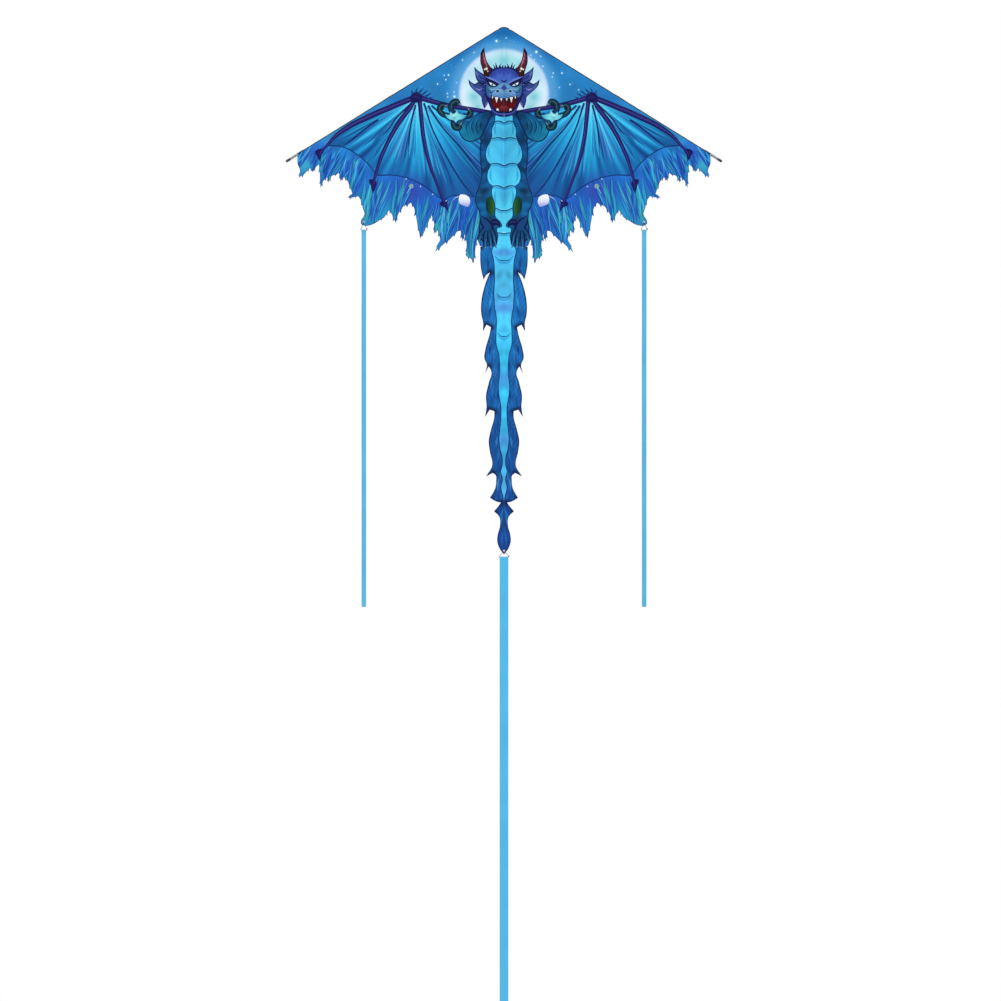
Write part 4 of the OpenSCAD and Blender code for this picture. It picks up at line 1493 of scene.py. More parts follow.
def cut_line(points, long_side=60.0):
    """The outline as cut: long straight sides stay straight, and the rest is rounded between its tips."""
    marked = rounded_cut(points)
    sides = np.linalg.norm(np.roll(points, -1, axis=0) - points, axis=1)
    made = []
    for i, point in enumerate(marked):
        beside_long = sides[i] > long_side or sides[i - 1] > long_side
        made.append((*point[:2], 1) if beside_long or point[0] == 0 else point)
    return made


def sail_relief(x, depth):
    """How far the cloth stands back from flat: a shallow billow, soft folds, and fluttering flames."""
    inward = depth * COS - x * SIN
    held = smoothstep(inward, 14, 105) * smoothstep(x, 14, 120)
    beside = (x - SIDE_EYELET[0]) ** 2 + (depth - SIDE_EYELET[1]) ** 2
    held = held * (1 - np.exp(-beside / 26**2))
    folds = 0.7 * np.sin(x / 31 - depth / 47) + 0.5 * np.sin(x / 17 + depth / 61 + 1.3)
    loose = smoothstep(depth + 0.36 * x - 640, 0, 110)
    flutter = 2.1 * np.sin(x / 21 + depth / 95) + 1.0 * np.sin(x / 9.5 + 0.8)
    by_spine = 0.10 * np.sin(depth / 1.9) * np.exp(-x / 16)
    by_edge = 0.10 * np.sin((x + depth) / 2.3) * np.exp(-inward / 14)
    relief = (held * (2.6 + folds + flutter * loose)
              + (by_spine + by_edge) * smoothstep(inward, 3, 7) * smoothstep(x, 1, 4))
    return relief - LAP_RISE * (1 - smoothstep(edge_distance(x, depth), 3, 7))


def edge_distance(x, depth):
    """How far inside the kite's upper edge a point is. The edge is straight beyond the round nose."""
    middle = NOSE_ABOVE_SPINE / COS
    from_nose = NOSE_ABOVE_SPINE - np.hypot(x, depth - middle)
    return np.where((x < NOSE_ABOVE_SPINE * SIN) & (depth < middle), from_nose, depth * COS - x * SIN)


def lapped(outline):
    """The outline with its bound edges moved out, because the printed cloth laps over the tape."""
    x, depth = outline.T
    distance = edge_distance(x, depth)
    away = outline - (0, NOSE_ABOVE_SPINE / COS)
    away /= np.linalg.norm(away, axis=1, keepdims=True)
    away[x >= NOSE_ABOVE_SPINE * SIN] = (SIN, -COS)
    bound = (distance < 3.9) & (depth < 450)
    return outline + away * np.where(bound, distance - EDGE_LEFT, 0)[:, None]


# The shortest side of the hem that carries a barb.
FRAY_GAP = 15.0


def frayed(marked, seed):
    """The hem with small barbs between its tongues, all leaning down."""
    dice = np.random.default_rng(seed)
    rough = np.array([p[:2] for p in marked])
    made = []
    for here, after in zip(marked, marked[1:] + marked[:1]):
        made.append(here)
        a, b = np.array(here[:2]), np.array(after[:2])
        gap = np.linalg.norm(b - a)
        hem = all(80 < p[0] < 685 and p[1] * COS - p[0] * SIN > 26 for p in (a, b))
        by_eyelet = any(np.hypot(*(p - SIDE_EYELET)) < EYELET_CLEAR for p in (a, b))
        if not hem or gap < FRAY_GAP or by_eyelet:
            continue
        along = (b - a) / gap
        out = np.array([along[1], -along[0]])
        if inside(((a + b) / 2 + out * 2)[None], rough)[0]:
            out = -out
        size = min(gap * 0.26, dice.uniform(3.5, 7.5))
        down = b[1] > a[1]
        shoulder, point, notch = (0.28, 0.56, 0.58) if down else (0.72, 0.44, 0.42)
        barb = [tuple(a + along * gap * shoulder + out * size * 0.12),
                (*(a + along * gap * point + out * size * 0.7 + (0, size * 0.55)), 1),
                (*(a + along * gap * notch - out * size * 0.12), 1)]
        made += barb if down else barb[::-1]
    return made


def tongue_tips(marked):
    """The lowest points of the hem's tongues, which the fire's strands run down to."""
    tips = []
    for before, p, after in zip(marked[-1:] + marked, marked, marked[1:] + marked[:1]):
        if len(p) > 2 and p[1] > before[1] and p[1] > after[1] and 80 < p[0] < 655:
            tips.append((p[0], p[1]))
    return tips + [SIDE_TIP]


def make_sail(name, side):
    """One half of the sail, and its outline."""
    marked = cut_line(sail_outline())
    outline = lapped(curve(frayed(marked, 61), step=5))
    hole = disc(*SIDE_EYELET, EYELET_HOLE)
    marks = sail_marks(side, tongue_tips(marked), outline)
    columns = [(x, depth) for x in np.arange(FOLD_START - 2, FOLD_END + 3, 2.0)
               for depth in np.arange(14, 706, 6.0)]
    rim_rings = [tuple(place) for radius in range(MOON_RADIUS - 18, MOON_RADIUS + 14, 5)
                 for place in disc(*MOON, radius, count=120) if place[0] > 1]
    flat_shape = filled(outline, [hole], marks, SAIL_SPACING, [FACE_AREA], columns + rim_rings)

    def place(points, depth_in):
        x, depth = points[:, 0], points[:, 1]
        return np.stack([side * x, sail_relief(x, depth) + depth_in, -depth], axis=1)
    piece = cloth_piece(name, flat_shape, place, (0, -1, 0), PRINTED, marks)
    side_name = "right" if side > 0 else "left"
    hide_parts(f"{side_name}_panel", "centre_panel")
    placed([side * FOLD_START, 0, 0])
    placed([side * FOLD_END, 0, 0])
    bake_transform(piece)
    return piece, outline


# The dragon tail: its mesh, its seam's half width on the sail's foot, and the depths of its top, its
# seam, the end of its lap and its eyelet.
TAIL_SPACING = 4.5
SEAM_HALF = 64
LAP_TOP = 700
SEAM_DEPTH = 707
LAP_END = 713
TAIL_EYELET = 1684


def make_dragon_tail():
    """The dragon tail hangs from the sail's foot, with its top lapped behind the sail."""
    half = in_order(rim("dragon_tail", (0, 2)) * (1, -1))
    top = [(SEAM_HALF, LAP_TOP, 1), (SEAM_HALF + 6, SEAM_DEPTH - 1)]
    right = curve(top + cut_line(half), closed=False, step=4)
    outline = np.concatenate([right, (right * (-1, 1))[::-1]])
    marks = both_halves(tail_marks(half))
    hole = disc(0, TAIL_EYELET, EYELET_HOLE)
    rows = [(x, depth) for depth in np.arange(LAP_TOP + 1, 718, 1.6) for x in np.arange(-60, 61, 6.0)]
    flat_shape = filled(outline, [hole], marks, TAIL_SPACING, extra=rows)

    def place(points, depth_in):
        x, depth = points[:, 0], points[:, 1]
        free = smoothstep(depth, 712, 860) * (1 - np.exp(-(((depth - TAIL_EYELET) / 30) ** 2)))
        wave = 1.7 * np.sin(depth / 74 + 0.4) + 0.9 * np.sin(depth / 31 + x / 24)
        curl = 0.5 * np.sin(depth / 17) * np.abs(x) / 40 - 0.9 * (x / 60) ** 2
        lap = LAP_RISE * (1 - smoothstep(depth, 705, LAP_END))
        return np.stack([x, free * (wave + curl) + lap + depth_in, -depth], axis=1)
    piece = cloth_piece("dragon_tail_cloth", flat_shape, place, (0, -1, 0), PRINTED, marks)
    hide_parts("dragon_tail")
    placed([0, 0, -LAP_TOP - 1])
    placed([0, 0, -LAP_END])
    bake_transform(piece)
    return piece, outline


def in_order(cut):
    """The right half of a mirrored outline, from its top to its lowest point."""
    start = int(np.argmax(cut[:, 0] - cut[:, 1]))
    ring = np.roll(cut, -start, axis=0)
    lowest = int(np.argmax(ring[:, 1]))
    one = ring[:lowest + 1]
    other = np.concatenate([ring[:1], ring[:lowest - 1:-1]])
    return one if (one[:, 0] > -0.1).all() else other


def either_side(function):
    """The same colour or strength on both sides of the centre line."""
    return lambda points: function(np.abs(points))


def both_halves(marks):
    """The marks of the right half, each followed by its mirror image."""
    made = []
    for mark in marks:
        tint = either_side(mark.tint)
        strength = either_side(mark.strength) if callable(mark.strength) else mark.strength
        if mark.outline is None:
            made.append(Mark(None, tint, strength))
            continue
        right = np.stack([np.maximum(mark.outline[:, 0], 0), mark.outline[:, 1]], axis=1)
        made += [Mark(right * (side, 1), tint, strength) for side in (1, -1)]
    return made


def area_of(outline):
    """The area inside a flat outline, in square metres."""
    x, y = outline[:, 0] * MM, outline[:, 1] * MM
    return float(abs((x * np.roll(y, -1) - y * np.roll(x, -1)).sum()) / 2)


right_sail, sail_cut = make_sail("right_sail", 1)
left_sail = make_sail("left_sail", -1)[0]
tail_cloth, tail_cut = make_dragon_tail()


# ---------- sleeves, binding and pockets ----------

# The tape's thickness, how far the edge rods' and the spine's axes lie behind the sail's front, the
# sleeves' radius, the width of their seam allowance, and how far apart their rings are.
TAPE = 0.3
ROD_AXIS = 3.0
SPINE_AXIS = 4.2
SLEEVE_R = 2.9
FLANGE = 13.4
RING_STEP = 6.0

# The edge sleeves along the leading edge: where they start and end, the gap on each side of the
# spreader's clip, how far they keep from the fold beside the spine, and their two rows of stitches.
SLEEVE_START = 22
SLEEVE_END = 779.6
CLIP_GAP = 23
FOLD_CLEAR = 18.6
SEAM_ROWS = (6.6, 11.4)

# How far behind the sail's front the stitches are that show on its front and on its tape.
FRONT_THREAD = -0.12
BACK_THREAD = 1.12


def arc_points(centre, radius, start, end, count):
    """Points on a round arc, from one angle in degrees to another."""
    turn = np.radians(np.linspace(start, end, count))
    return np.stack([centre[0] + radius * np.cos(turn), centre[1] + radius * np.sin(turn)], axis=1)


def edge_profile(flange):
    """The section of a leading edge sleeve, as (inward from the rod, behind the sail's front)."""
    front = [[flange, 0.55], [flange * 0.6, 0.55], [4.4, 0.58], [2.7, 0.78]]
    round_rod = arc_points((0, ROD_AXIS), SLEEVE_R, -58, -350, 18)
    back = [[3.3, 2.2], [4.0, 1.35], [5.2, 1.03], [flange * 0.6, 0.95], [flange, 0.95]]
    return np.concatenate([front, round_rod, back])


def edge_place(side, s, inward, behind):
    """A point beside a leading edge: s along it from the nose, inward from its line, behind the sail."""
    return np.stack([side * (s * COS - inward * SIN), behind + 0 * s, -s * SIN - inward * COS], axis=-1)


def make_edge_sleeve(node, side, start, end, fold_clear):
    """A sleeve of black tape round the rod, gathered a little, with its seam allowance along the sail."""
    profile = edge_profile(FLANGE)
    rings = []
    for s in np.arange(start, end + 0.1, (end - start) / round((end - start) / RING_STEP)):
        gather = 1 + 0.028 * math.sin(s / 5.1) + 0.018 * math.sin(s / 2.3 + 1)
        line = profile.copy()
        around = line[:, 0] < 3.4
        line[around] = (line[around] - (0, ROD_AXIS)) * gather + (0, ROD_AXIS)
        shell = thick_line(line, TAPE)
        first = np.maximum(start, (fold_clear + shell[:, 0] * SIN) / COS)
        along = first + (s - start) * (end - first) / (end - start)
        rings.append(edge_place(side, along, shell[:, 0], shell[:, 1]))
    if side < 0:
        rings = [ring[::-1] for ring in rings]
    points, faces = loft(rings)
    along_line = np.repeat(np.arange(len(rings)) * RING_STEP, len(rings[0]))
    around_line = np.tile(np.arange(len(rings[0])) * 1.2, len(rings))
    piece = make_piece(f"{node}_cloth", points, faces, HEM_TAPE,
                       np.stack([along_line, around_line], axis=1))
    sharpen(piece)
    return settle(piece, NODES[node]["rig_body"], [node])


def seam_row(side, start, end, inward, behind, out):
    """A row of stitches along a leading edge."""
    s = np.array([start, end], float)
    return stitches(edge_place(side, s, np.array([inward, inward]), np.array([behind, behind])),
                    (0, out, 0))


def make_edges(side, name):
    """A wing's two sleeves and their rows of stitches."""
    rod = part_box("spreader_rod")
    clip = -(rod[0].z + rod[1].z) / 2 / MM + nose_height
    clip_s = clip / SIN
    upper_end, lower_start = clip_s - CLIP_GAP, clip_s + CLIP_GAP
    pieces = [make_edge_sleeve(f"{name}_sleeve_upper", side, SLEEVE_START, upper_end, FOLD_CLEAR),
              make_edge_sleeve(f"{name}_sleeve_lower", side, lower_start, SLEEVE_END, 0)]
    rows = []
    for start, end in ((40, upper_end - 2), (lower_start + 2, SLEEVE_END - 3)):
        for inward in SEAM_ROWS:
            rows.append(seam_row(side, start, end, inward, FRONT_THREAD, -1))
            rows.append(seam_row(side, start, end, inward, BACK_THREAD, 1))
    return pieces + [sewn(f"{name}_edge_stitching", rows, f"{name}_wing")]


# Half the width of the nose binding.
NOSE_HALF = 17.5


def make_nose_binding():
    """Black tape folded round the nose, between the two leading edges."""
    profile = edge_profile(6.2) * (1, 0.62) + (0.2, -0.05)
    radius = NOSE_ABOVE_SPINE
    centre = -radius / COS
    line, inwards = [], []
    for turn in np.linspace(-EDGE_SLOPE, EDGE_SLOPE, 17):
        line.append([radius * math.sin(turn), centre + radius * math.cos(turn)])
        inwards.append([-math.sin(turn), -math.cos(turn)])
    drop = -NOSE_HALF * SIN / COS
    line = [[-NOSE_HALF, drop], *line, [NOSE_HALF, drop]]
    inwards = [[SIN, -COS], *inwards, [-SIN, -COS]]
    shell = thick_line(profile, TAPE)
    rings = [[[p[0] + i[0] * v, y, p[1] + i[1] * v] for v, y in shell] for p, i in zip(line, inwards)]
    piece = make_piece("nose_binding_tape", *loft(rings), HEM_TAPE)
    sharpen(piece)
    settle(piece, "spine", ["nose_binding"])
    seam = [[p[0] + i[0] * 4.9, -0.1, p[1] + i[1] * 4.9] for p, i in zip(line, inwards)]
    return [piece, sewn("nose_stitching", [stitches(seam, (0, -1, 0), pitch=2.6, length=2.0)], "spine")]


def make_spine_sleeve(node):
    """The tape over the spine, sewn to the sail along both of its sides."""
    low, high = node_box(node)
    flange = 9.7
    round_rod = arc_points((0, SPINE_AXIS), SLEEVE_R, 205, -25, 17)
    profile = np.concatenate([[[-flange, 0.48], [-6.5, 0.48], [-4.6, 0.7], [-3.4, 1.5]], round_rod,
                              [[3.4, 1.5], [4.6, 0.7], [6.5, 0.48], [flange, 0.48]]])
    rings = []
    count = round((high[2] - low[2]) / RING_STEP)
    for z in np.linspace(low[2] + 0.3, high[2] - 0.3, count):
        gather = 1 + 0.03 * math.sin(z / 4.7) + 0.02 * math.sin(z / 2.1)
        line = profile.copy()
        around = np.abs(line[:, 0]) < 3.3
        line[around] = (line[around] - (0, SPINE_AXIS)) * gather + (0, SPINE_AXIS)
        shell = thick_line(line, TAPE)
        rings.append(np.stack([shell[:, 0], shell[:, 1], np.full(len(shell), z)], axis=1))
    piece = make_piece(f"{node}_cloth", *loft(rings), HEM_TAPE)
    sharpen(piece)
    settle(piece, "spine", [node])
    rows = []
    for x in (-7.6, 7.6):
        for y, out in ((-0.1, -1), (0.66, 1)):
            rows.append(stitches([[x, y, low[2] + 2], [x, y, high[2] - 2]], (0, out, 0)))
    return [piece, sewn(f"{node}_stitching", rows, "spine")]


def make_pocket(node, closed_up):
    """A folded pocket of tape that holds the spine's end, with its mouth bar-tacked to the sail."""
    low, high = node_box(node)
    tip, mouth = (high[2], low[2]) if closed_up else (low[2], high[2])
    away = 1 if closed_up else -1
    half = np.array([[7.7, 0.62], [6.2, 0.7], [5.0, 1.9], [4.5, 4.4], [3.4, 6.9], [1.6, 7.9]])
    section = np.concatenate([half * (-1, 1), [[0, 8.1]], half[::-1]])
    rings = []
    # Each ring's distance in from the mouth, and its height: the closed end is pressed flat.
    for back, height in ((0, 1.0), (4, 0.985), (8, 1.0), (11, 0.98), (13.4, 1.0), (14.9, 0.98),
                         (15.5, 0.8), (15.8, 0.45), (15.95, 0.14)):
        line = section.copy()
        line[:, 1] = 0.62 + (line[:, 1] - 0.62) * height
        shell = thick_line(line, TAPE)
        rings.append(np.stack([shell[:, 0], shell[:, 1], np.full(len(shell), mouth + away * back)],
                              axis=1))
    if not closed_up:
        rings = [ring[::-1] for ring in rings]
    piece = make_piece(f"{node}_tape", *loft(rings), HEM_TAPE)
    sharpen(piece)
    settle(piece, "spine", [node])
    rows = []
    for x in (-6.9, 6.9):
        for y, out in ((0.95, 1), (-0.1, -1)):
            rows.append(stitches([[x, y, mouth + away * 1], [x, y, tip - away * 1]], (0, out, 0),
                                 pitch=1.1, length=0.6, swing=1.2))
    return [piece, sewn(f"{node}_stitching", rows, "spine")]


def flat_panel(name, outline, holes, behind, thickness, spacing, material):
    """A small flat piece of tape that lies on the sail's back and follows it."""
    def place(points, depth_in):
        soft = 0.05 * np.sin(points[:, 0] / 2.7) * np.sin(points[:, 1] / 3.1)
        y = sail_relief(np.abs(points[:, 0]), points[:, 1]) + behind + soft + depth_in
        return np.stack([points[:, 0], y, -points[:, 1]], axis=1)
    return cloth_piece(name, filled(outline, holes, [], spacing), place, (0, -1, 0), material,
                       thickness=thickness)


def make_seam_tape():
    """The tape behind the middle of the dragon tail's seam, sewn through in a zigzag."""
    low, high = node_box("tail_seam_tape")
    outline = curve([(low[0], -high[2], 1), (high[0], -high[2], 1), (high[0], -low[2], 1),
                     (low[0], -low[2], 1)], step=2)
    piece = flat_panel("tail_seam_tape_cloth", outline, [], 0.78, TAPE, 2.0, HEM_TAPE)
    settle(piece, "spine", ["tail_seam_tape"])
    middle = (low[2] + high[2]) / 2
    rows = [stitches([[low[0] + 1, y, middle], [high[0] - 1, y, middle]], (0, out, 0), pitch=1.6,
                     length=1.2, swing=2.8) for y, out in ((1.16, 1), (FRONT_THREAD, -1))]
    return [piece, sewn("tail_seam_stitching", rows, "spine")]


def make_wing_seam(name, side):
    """The rest of the dragon tail's seam, in front of one wing's foot."""
    height = -LAP_TOP - 1.3
    ends = [[side * x, FRONT_THREAD, height] for x in (20, SEAM_HALF)]
    row = stitches(ends, (0, -1, 0), pitch=2.6, length=2.0)
    return [sewn(f"{name}_foot_stitching", [row], f"{name}_wing")]


def make_patch(name, side):
    """The reinforcing patch round a side ribbon's eyelet."""
    node = f"{name}_tail_patch"
    cut = rim(node, (0, 2)) * (1, -1)
    outline = curve([(*p, 1) for p in cut], step=3)
    hole = disc(side * SIDE_EYELET[0], SIDE_EYELET[1], EYELET_HOLE)
    piece = flat_panel(f"{node}_cloth", outline, [hole], 0.3, 0.36, 2.5, HEM_TAPE)
    body = f"{name}_wing"
    settle(piece, body, [node])
    middle = outline.mean(axis=0)
    ring = middle + (outline - middle) * 0.84
    ring = np.concatenate([ring, ring[:1]])
    on_sail = sail_relief(np.abs(ring[:, 0]), ring[:, 1])
    rows = [stitches(np.stack([ring[:, 0], on_sail + y, -ring[:, 1]], axis=1), (0, out, 0),
                     pitch=2.4, length=1.8) for y, out in ((0.76, 1), (-0.08, -1))]
    return [piece, sewn(f"{node}_stitching", rows, body)]


# ---------- keel ----------

# The radius of the keel's patches round the tow eyelet, of the hole that lets the eyelet through, and
# of the two rings of stitches between them.
KEEL_NOSE_R = 13
KEEL_HOLE = 3.1
PATCH_ROWS = (11.2, 7.4)

# How far the keel's row of stitches is inside its free edges, and how far it stops from the seam.
HEM_ROW = 4.2
HEM_ROW_END = 9


def keel_bow(points, tow):
    """How far the keel's cloth stands to the side: soft waves, and none by its seam and its eyelet."""
    by_seam = np.clip(-points[:, 0] / 40, 0, 1)
    by_eyelet = np.clip((np.linalg.norm(points - tow, axis=1) - 16) / 60, 0, 1)
    return 0.35 * (by_seam * by_eyelet) * np.sin(points[:, 1] / 38)


def make_keel():
    """The keel: one cloth with a hem folded over its two free edges, and patches round the tow eyelet."""
    cut = rim("keel_panel", (1, 2))
    eyelet = node_box("keel_eyelet")
    tow = np.array([(eyelet[0][1] + eyelet[1][1]) / 2, (eyelet[0][2] + eyelet[1][2]) / 2])
    steps = np.linalg.norm(np.roll(cut, -1, axis=0) - cut, axis=1)
    outline = curve([(*p, 1) if max(steps[i], steps[i - 1]) > 40 else tuple(p)
                     for i, p in enumerate(cut)], step=6)
    outline[:, 0] = np.minimum(outline[:, 0], -0.3)
    outline[outline[:, 0] > -1.5, 0] = -0.3
    hole = disc(*tow, KEEL_HOLE)

    def place(points, depth_in):
        return np.stack([keel_bow(points, tow) + depth_in - 0.12, points[:, 0], points[:, 1]], axis=1)
    panel = cloth_piece("keel_cloth", filled(outline, [hole], [], 6.0), place, (-1, 0, 0), KEEL_CLOTH)
    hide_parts("keel_panel")
    start, end = placed([0, -1, 0]), placed([0, -7, 0])
    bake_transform(panel)

    ring = in_free_order(outline)
    inwards = normals(ring)
    if ((tow + (20, 0) - ring[len(ring) // 2]) @ inwards[len(ring) // 2]) < 0:
        inwards = -inwards
    fold = np.array([[5.5, 0.3], [2.5, 0.32], [0.3, 0.3], [-0.15, 0.0], [0.3, -0.3], [2.5, -0.32],
                     [5.5, -0.3]])
    shell = thick_line(fold, 0.18)
    rings = [[[keel_bow(np.array([p]), tow)[0] + y, p[0] + s[0] * v, p[1] + s[1] * v]
              for v, y in shell] for p, s in zip(ring, inwards)]
    hem = make_piece("keel_hem", *loft(rings), KEEL_CLOTH)
    hem.data.materials.append(KEEL_EDGE)
    tow_height = placed([0, 0, tow[1]])[2]
    for face in hem.data.polygons:
        face.material_index = int(face.center.z > tow_height)
    sharpen(hem)
    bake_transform(hem)

    row = ring + inwards * HEM_ROW
    row = row[row[:, 0] < -HEM_ROW_END]
    rows = [stitches(np.stack([keel_bow(row, tow) + out * 0.42, row[:, 0], row[:, 1]], axis=1),
                     (out, 0, 0)) for out in (-1, 1)]
    turn = np.linspace(0, 2 * math.pi, 60)
    for out in (-1, 1):
        for radius in PATCH_ROWS:
            circle = np.stack([np.full(60, out * 0.74), tow[0] + radius * np.cos(turn),
                               tow[1] + radius * np.sin(turn)], axis=1)
            rows.append(stitches(circle, (out, 0, 0), pitch=2.2, length=1.6))
    thread = sewn("keel_stitching", rows, "keel")
    return panel, [hem, thread, keel_patch(tow, -1), keel_patch(tow, 1)], outline


def keel_patch(tow, out):
    """The round patch on one side of the keel, round the tow eyelet."""
    flat_shape = filled(disc(*tow, KEEL_NOSE_R - 0.6, count=48), [disc(*tow, KEEL_HOLE)], [], 2.5)

    def place(points, depth_in):
        beside = np.full(len(points), out * (0.68 - depth_in))
        return np.stack([beside, points[:, 0], points[:, 1]], axis=1)
    piece = cloth_piece(f"keel_patch_{'right' if out > 0 else 'left'}", flat_shape, place, (out, 0, 0),
                        HEM_TAPE, thickness=0.24)
    return settle(piece, "keel", ["keel_patches"])


def in_free_order(outline):
    """The keel's two free edges as one line, from its upper root round the tow point to its foot."""
    root = outline[:, 0] > -0.5
    first = np.nonzero(root & ~np.roll(root, -1))[0][0]
    line = np.roll(outline, -first, axis=0)
    keep = line[:, 0] <= -0.5
    free = line[keep]
    return free if free[0, 1] > free[-1, 1] else free[::-1]


# ---------- ribbons and cord loops ----------

# A ribbon's cloth, the tunnel round its cord, how far its top is folded back, how far the cord is
# below its top, and how far it hangs behind the sail's front face.
RIBBON_THICKNESS = 0.22
TUNNEL_R = 1.35
FOLD_BACK = 11.0
CORD_DROP = 1.5
RIBBON_PLANE = 0.25


def make_ribbon(node, material, wave_seed):
    """A ribbon, folded back over its cord and sewn. It hangs with a slow wave and a slight cup."""
    low, high = node_box(node)
    width = high[0] - low[0]
    middle = (high[0] + low[0]) / 2
    axis_z = high[2] - CORD_DROP
    length = axis_z - low[2]
    y0 = RIBBON_PLANE
    fold = [[y0 + 0.62, axis_z - FOLD_BACK], [y0 + 0.7, axis_z - 7], [y0 + 1.0, axis_z - 3]]
    round_cord = arc_points((y0, axis_z), TUNNEL_R, -20, 200, 12)
    drop = np.concatenate([[2.6, 5.0, 8.0], np.arange(12, length, 6.0), [length]])
    dice = np.random.default_rng(wave_seed)
    phases = dice.uniform(0, 6.28, 3)
    free = smoothstep(drop, 14, 260)
    front = y0 - TUNNEL_R * np.exp(-drop / 2.4) - 0.05
    wave = free * (2.0 * np.sin(drop / 150 + phases[0]) + 0.9 * np.sin(drop / 61 + phases[1]))
    hang = np.stack([front + wave, axis_z - drop], axis=1)
    line = np.concatenate([fold, round_cord, hang])
    loose = np.concatenate([np.zeros(len(fold) + len(round_cord)), free])
    shell = thick_line(line, RIBBON_THICKNESS)
    loose = np.concatenate([loose, loose[::-1]])
    down = np.r_[np.zeros(len(fold) + len(round_cord)), drop]
    down = np.concatenate([down, down[::-1]])
    rings = []
    for x in np.linspace(-width / 2, width / 2, 7):
        share = x / (width / 2)
        cup = 0.5 * share**2 + 0.7 * share * np.sin(down / 170 + phases[2])
        rings.append(np.stack([np.full(len(shell), middle + x), shell[:, 0] + cup * loose, shell[:, 1]],
                              axis=1))
    piece = make_piece(f"{node}_cloth", *loft(rings), material)
    sharpen(piece)
    body = NODES[node]["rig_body"]
    settle(piece, body, [node])
    rows = [stitches([[middle - width / 2 + 1, y, axis_z - 7.6],
                      [middle + width / 2 - 1, y, axis_z - 7.6]], (0, out, 0), pitch=2.2,
                     length=1.7) for y, out in ((y0 - 0.22, -1), (y0 + 0.84, 1))]
    thread = make_piece(f"{node}_stitching", *merged(rows), THREAD)
    settle(thread, body)
    return piece, [thread], width, length


# The radius of the cord, of its knot, and of the thinner cord at the wing tips.
CORD_R = 0.8
KNOT_R = 1.5
TIP_CORD_R = 0.62


def rounded_loop(corners, radius, closed=True):
    """A 3D line through the corners, with round bends."""
    corners = [np.array(c, float) for c in corners]
    line = []
    count = len(corners)
    for i, corner in enumerate(corners):
        before, after = corners[i - 1], corners[(i + 1) % count]
        if not closed and i in (0, count - 1):
            line.append(corner)
            continue
        a = corner + (before - corner) / np.linalg.norm(before - corner) * radius
        b = corner + (after - corner) / np.linalg.norm(after - corner) * radius
        for t in np.linspace(0, 1, 7):
            line.append((1 - t) ** 2 * a + 2 * t * (1 - t) * corner + t * t * b)
    dense = []
    for i, point in enumerate(line):
        end = line[(i + 1) % len(line)] if closed or i + 1 < len(line) else None
        dense.append(point)
        if end is not None:
            gap = np.linalg.norm(end - point)
            for t in np.arange(1, int(gap / 1.2)) / max(1, int(gap / 1.2)):
                dense.append(point + (end - point) * t)
    return np.array(dense)


def make_hanging_loop(node, ribbon_node):
    """A knotted loop of cord: through the eyelet, down both faces, and through the ribbon's tunnel."""
    low, high = node_box(node)
    ribbon_low, ribbon_high = node_box(ribbon_node)
    middle = (low[0] + high[0]) / 2
    half = (ribbon_high[0] - ribbon_low[0]) / 2 + 2.6
    bottom = ribbon_high[2] - CORD_DROP
    top = high[2] - 0.95
    front, back = low[1] + 0.95, high[1] - 0.95
    corners = [(middle, front, top), (middle - half, RIBBON_PLANE, bottom),
               (middle + half, RIBBON_PLANE, bottom), (middle, back, top)]
    line = rounded_loop(corners, 1.5)
    knot_at = np.array([middle + half * 0.9, RIBBON_PLANE + (back - RIBBON_PLANE) * 0.12,
                        bottom + (top - bottom) * 0.1])
    turn = np.linspace(0, 2 * math.pi, 26, endpoint=False)
    knot = np.stack([knot_at[0] + KNOT_R * np.cos(turn) * (0.7 + 0.3 * np.cos(3 * turn)),
                     knot_at[1] + KNOT_R * np.sin(turn) * 0.8,
                     knot_at[2] + KNOT_R * np.sin(2 * turn) * 0.7], axis=1)
    tails = [[knot_at, knot_at + (1.4, -0.5, 1.2), knot_at + (2.4, -0.8, 3.0)],
             [knot_at, knot_at + (1.6, 0.5, 0.2), knot_at + (3.2, 0.9, 1.0)]]
    parts = [tube(line, CORD_R, 10, 3, 5.0, closed=True), tube(knot, CORD_R * 0.9, 8, closed=True)]
    parts += [tube(rounded_loop(t, 0.5, closed=False), CORD_R * 0.85, 8, 3, 5.0) for t in tails]
    piece = make_piece(f"{node}_cord", *merged(parts), CORD)
    return settle(piece, NODES[node]["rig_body"], [node])


def make_tip_loop(name, side):
    """Cord from the sleeve's end, through the slot across the nock, and back."""
    strand, start, bight = 3.8, 757.6, 822.0
    spots = [(start, strand), (bight, strand), (bight, -strand), (start, -strand)]
    corners = [edge_place(side, np.array(s), np.array(-w), np.array(ROD_AXIS)) for s, w in spots]
    line = rounded_loop(corners, 1.4, closed=False)
    parts = [tube(line, TIP_CORD_R, 10, 3, 4.0)]
    turn = np.linspace(0, 2 * math.pi, 20, endpoint=False)
    for s, w in (spots[0], spots[3]):
        centre = edge_place(side, np.array(s + 1.0), np.array(-w), np.array(ROD_AXIS))
        ring = np.stack([centre[0] + 0.75 * np.cos(turn), centre[1] + 0.75 * np.sin(turn),
                         centre[2] + 0.5 * np.sin(2 * turn)], axis=1)
        parts.append(tube(ring, 0.5, 8, closed=True))
    piece = make_piece(f"{name}_tip_loop_cord", *merged(parts), CORD)
    return settle(piece, f"{name}_wing", [f"{name}_tip_loop"])


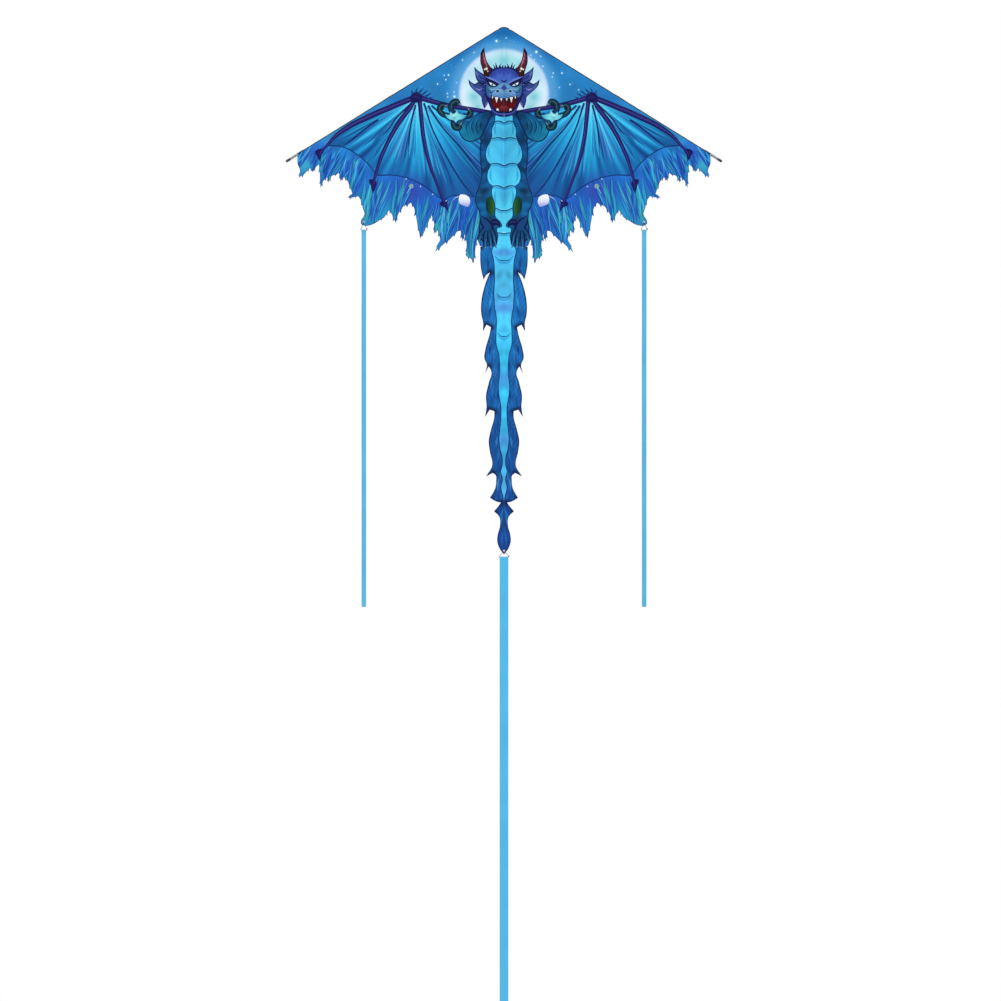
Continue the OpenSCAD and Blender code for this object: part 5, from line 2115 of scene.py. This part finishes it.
right_trim = make_edges(1, "right") + make_patch("right", 1) + make_wing_seam("right", 1)
left_trim = make_edges(-1, "left") + make_patch("left", -1) + make_wing_seam("left", -1)
centre_trim = (make_nose_binding() + make_spine_sleeve("spine_sleeve_upper")
               + make_spine_sleeve("spine_sleeve_lower") + make_pocket("nose_pocket", True)
               + make_pocket("foot_pocket", False) + make_seam_tape())
keel_cloth, keel_trim, keel_cut = make_keel()
ribbons = {
    "left_ribbon": make_ribbon("left_ribbon", SIDE_RIBBON_CLOTH, 91),
    "right_ribbon": make_ribbon("right_ribbon", SIDE_RIBBON_CLOTH, 92),
    "centre_ribbon": make_ribbon("centre_ribbon", RIBBON_CLOTH, 93)
}
make_hanging_loop("left_tail_loop", "left_ribbon")
make_hanging_loop("right_tail_loop", "right_ribbon")
make_hanging_loop("tail_loop", "centre_ribbon")
make_tip_loop("left", -1)
make_tip_loop("right", 1)


# ---------- what each cloth is ----------

def declare_sheets():
    """Works out each cloth's flat size and area, before it was sewn or hung, and lists the trim that is
    on it; nothing keeps them.
    """
    sail_size = np.ptp(sail_cut, axis=0) * MM
    for sail, trim, rods in ((right_sail, right_trim + centre_trim, ["right_edge_rod", "spine_rod"]),
                             (left_sail, left_trim, ["left_edge_rod", "spine_rod"])):
        area_of(sail_cut)
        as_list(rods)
        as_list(trim)
    area_of(tail_cut)
    tuple(np.ptp(keel_cut, axis=0) * MM)
    area_of(keel_cut)
    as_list(keel_trim)
    for node, (cloth, thread, width, length) in ribbons.items():
        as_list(thread)


def make_floor():
    """A plain pale floor, low enough to stay out of the front view."""
    rings = []
    for radius in (0.001, FLOOR_RADIUS * 0.5, FLOOR_RADIUS):
        turn = np.linspace(0, 2 * math.pi, 72, endpoint=False)
        rings.append(np.stack([radius * np.cos(turn), radius * np.sin(turn), 0 * turn], axis=1) / MM)
    points, faces = loft(rings, capped=False)
    low = cad_box[0].z / MM - nose_height - FLOOR_DROP
    floor = make_piece("floor", points + (0, 0, low), [f[::-1] for f in faces], FLOOR)


def floor_material():
    """A matt, nearly white floor whose tone drifts faintly."""
    material, shader, node, join = new_material("pale_floor")
    place = node("TexCoord").outputs["Object"]
    drift = noise(node, join, place, 1.4, 2.0)
    join(ramped(node, join, drift, (0.3, (236, 236, 234)), (0.7, (243, 243, 242))),
         shader.inputs["Base Color"])
    shader.inputs["Roughness"].default_value = 0.85
    return material


FLOOR = floor_material()
declare_sheets()
make_floor()

bpy.context.view_layer.update()
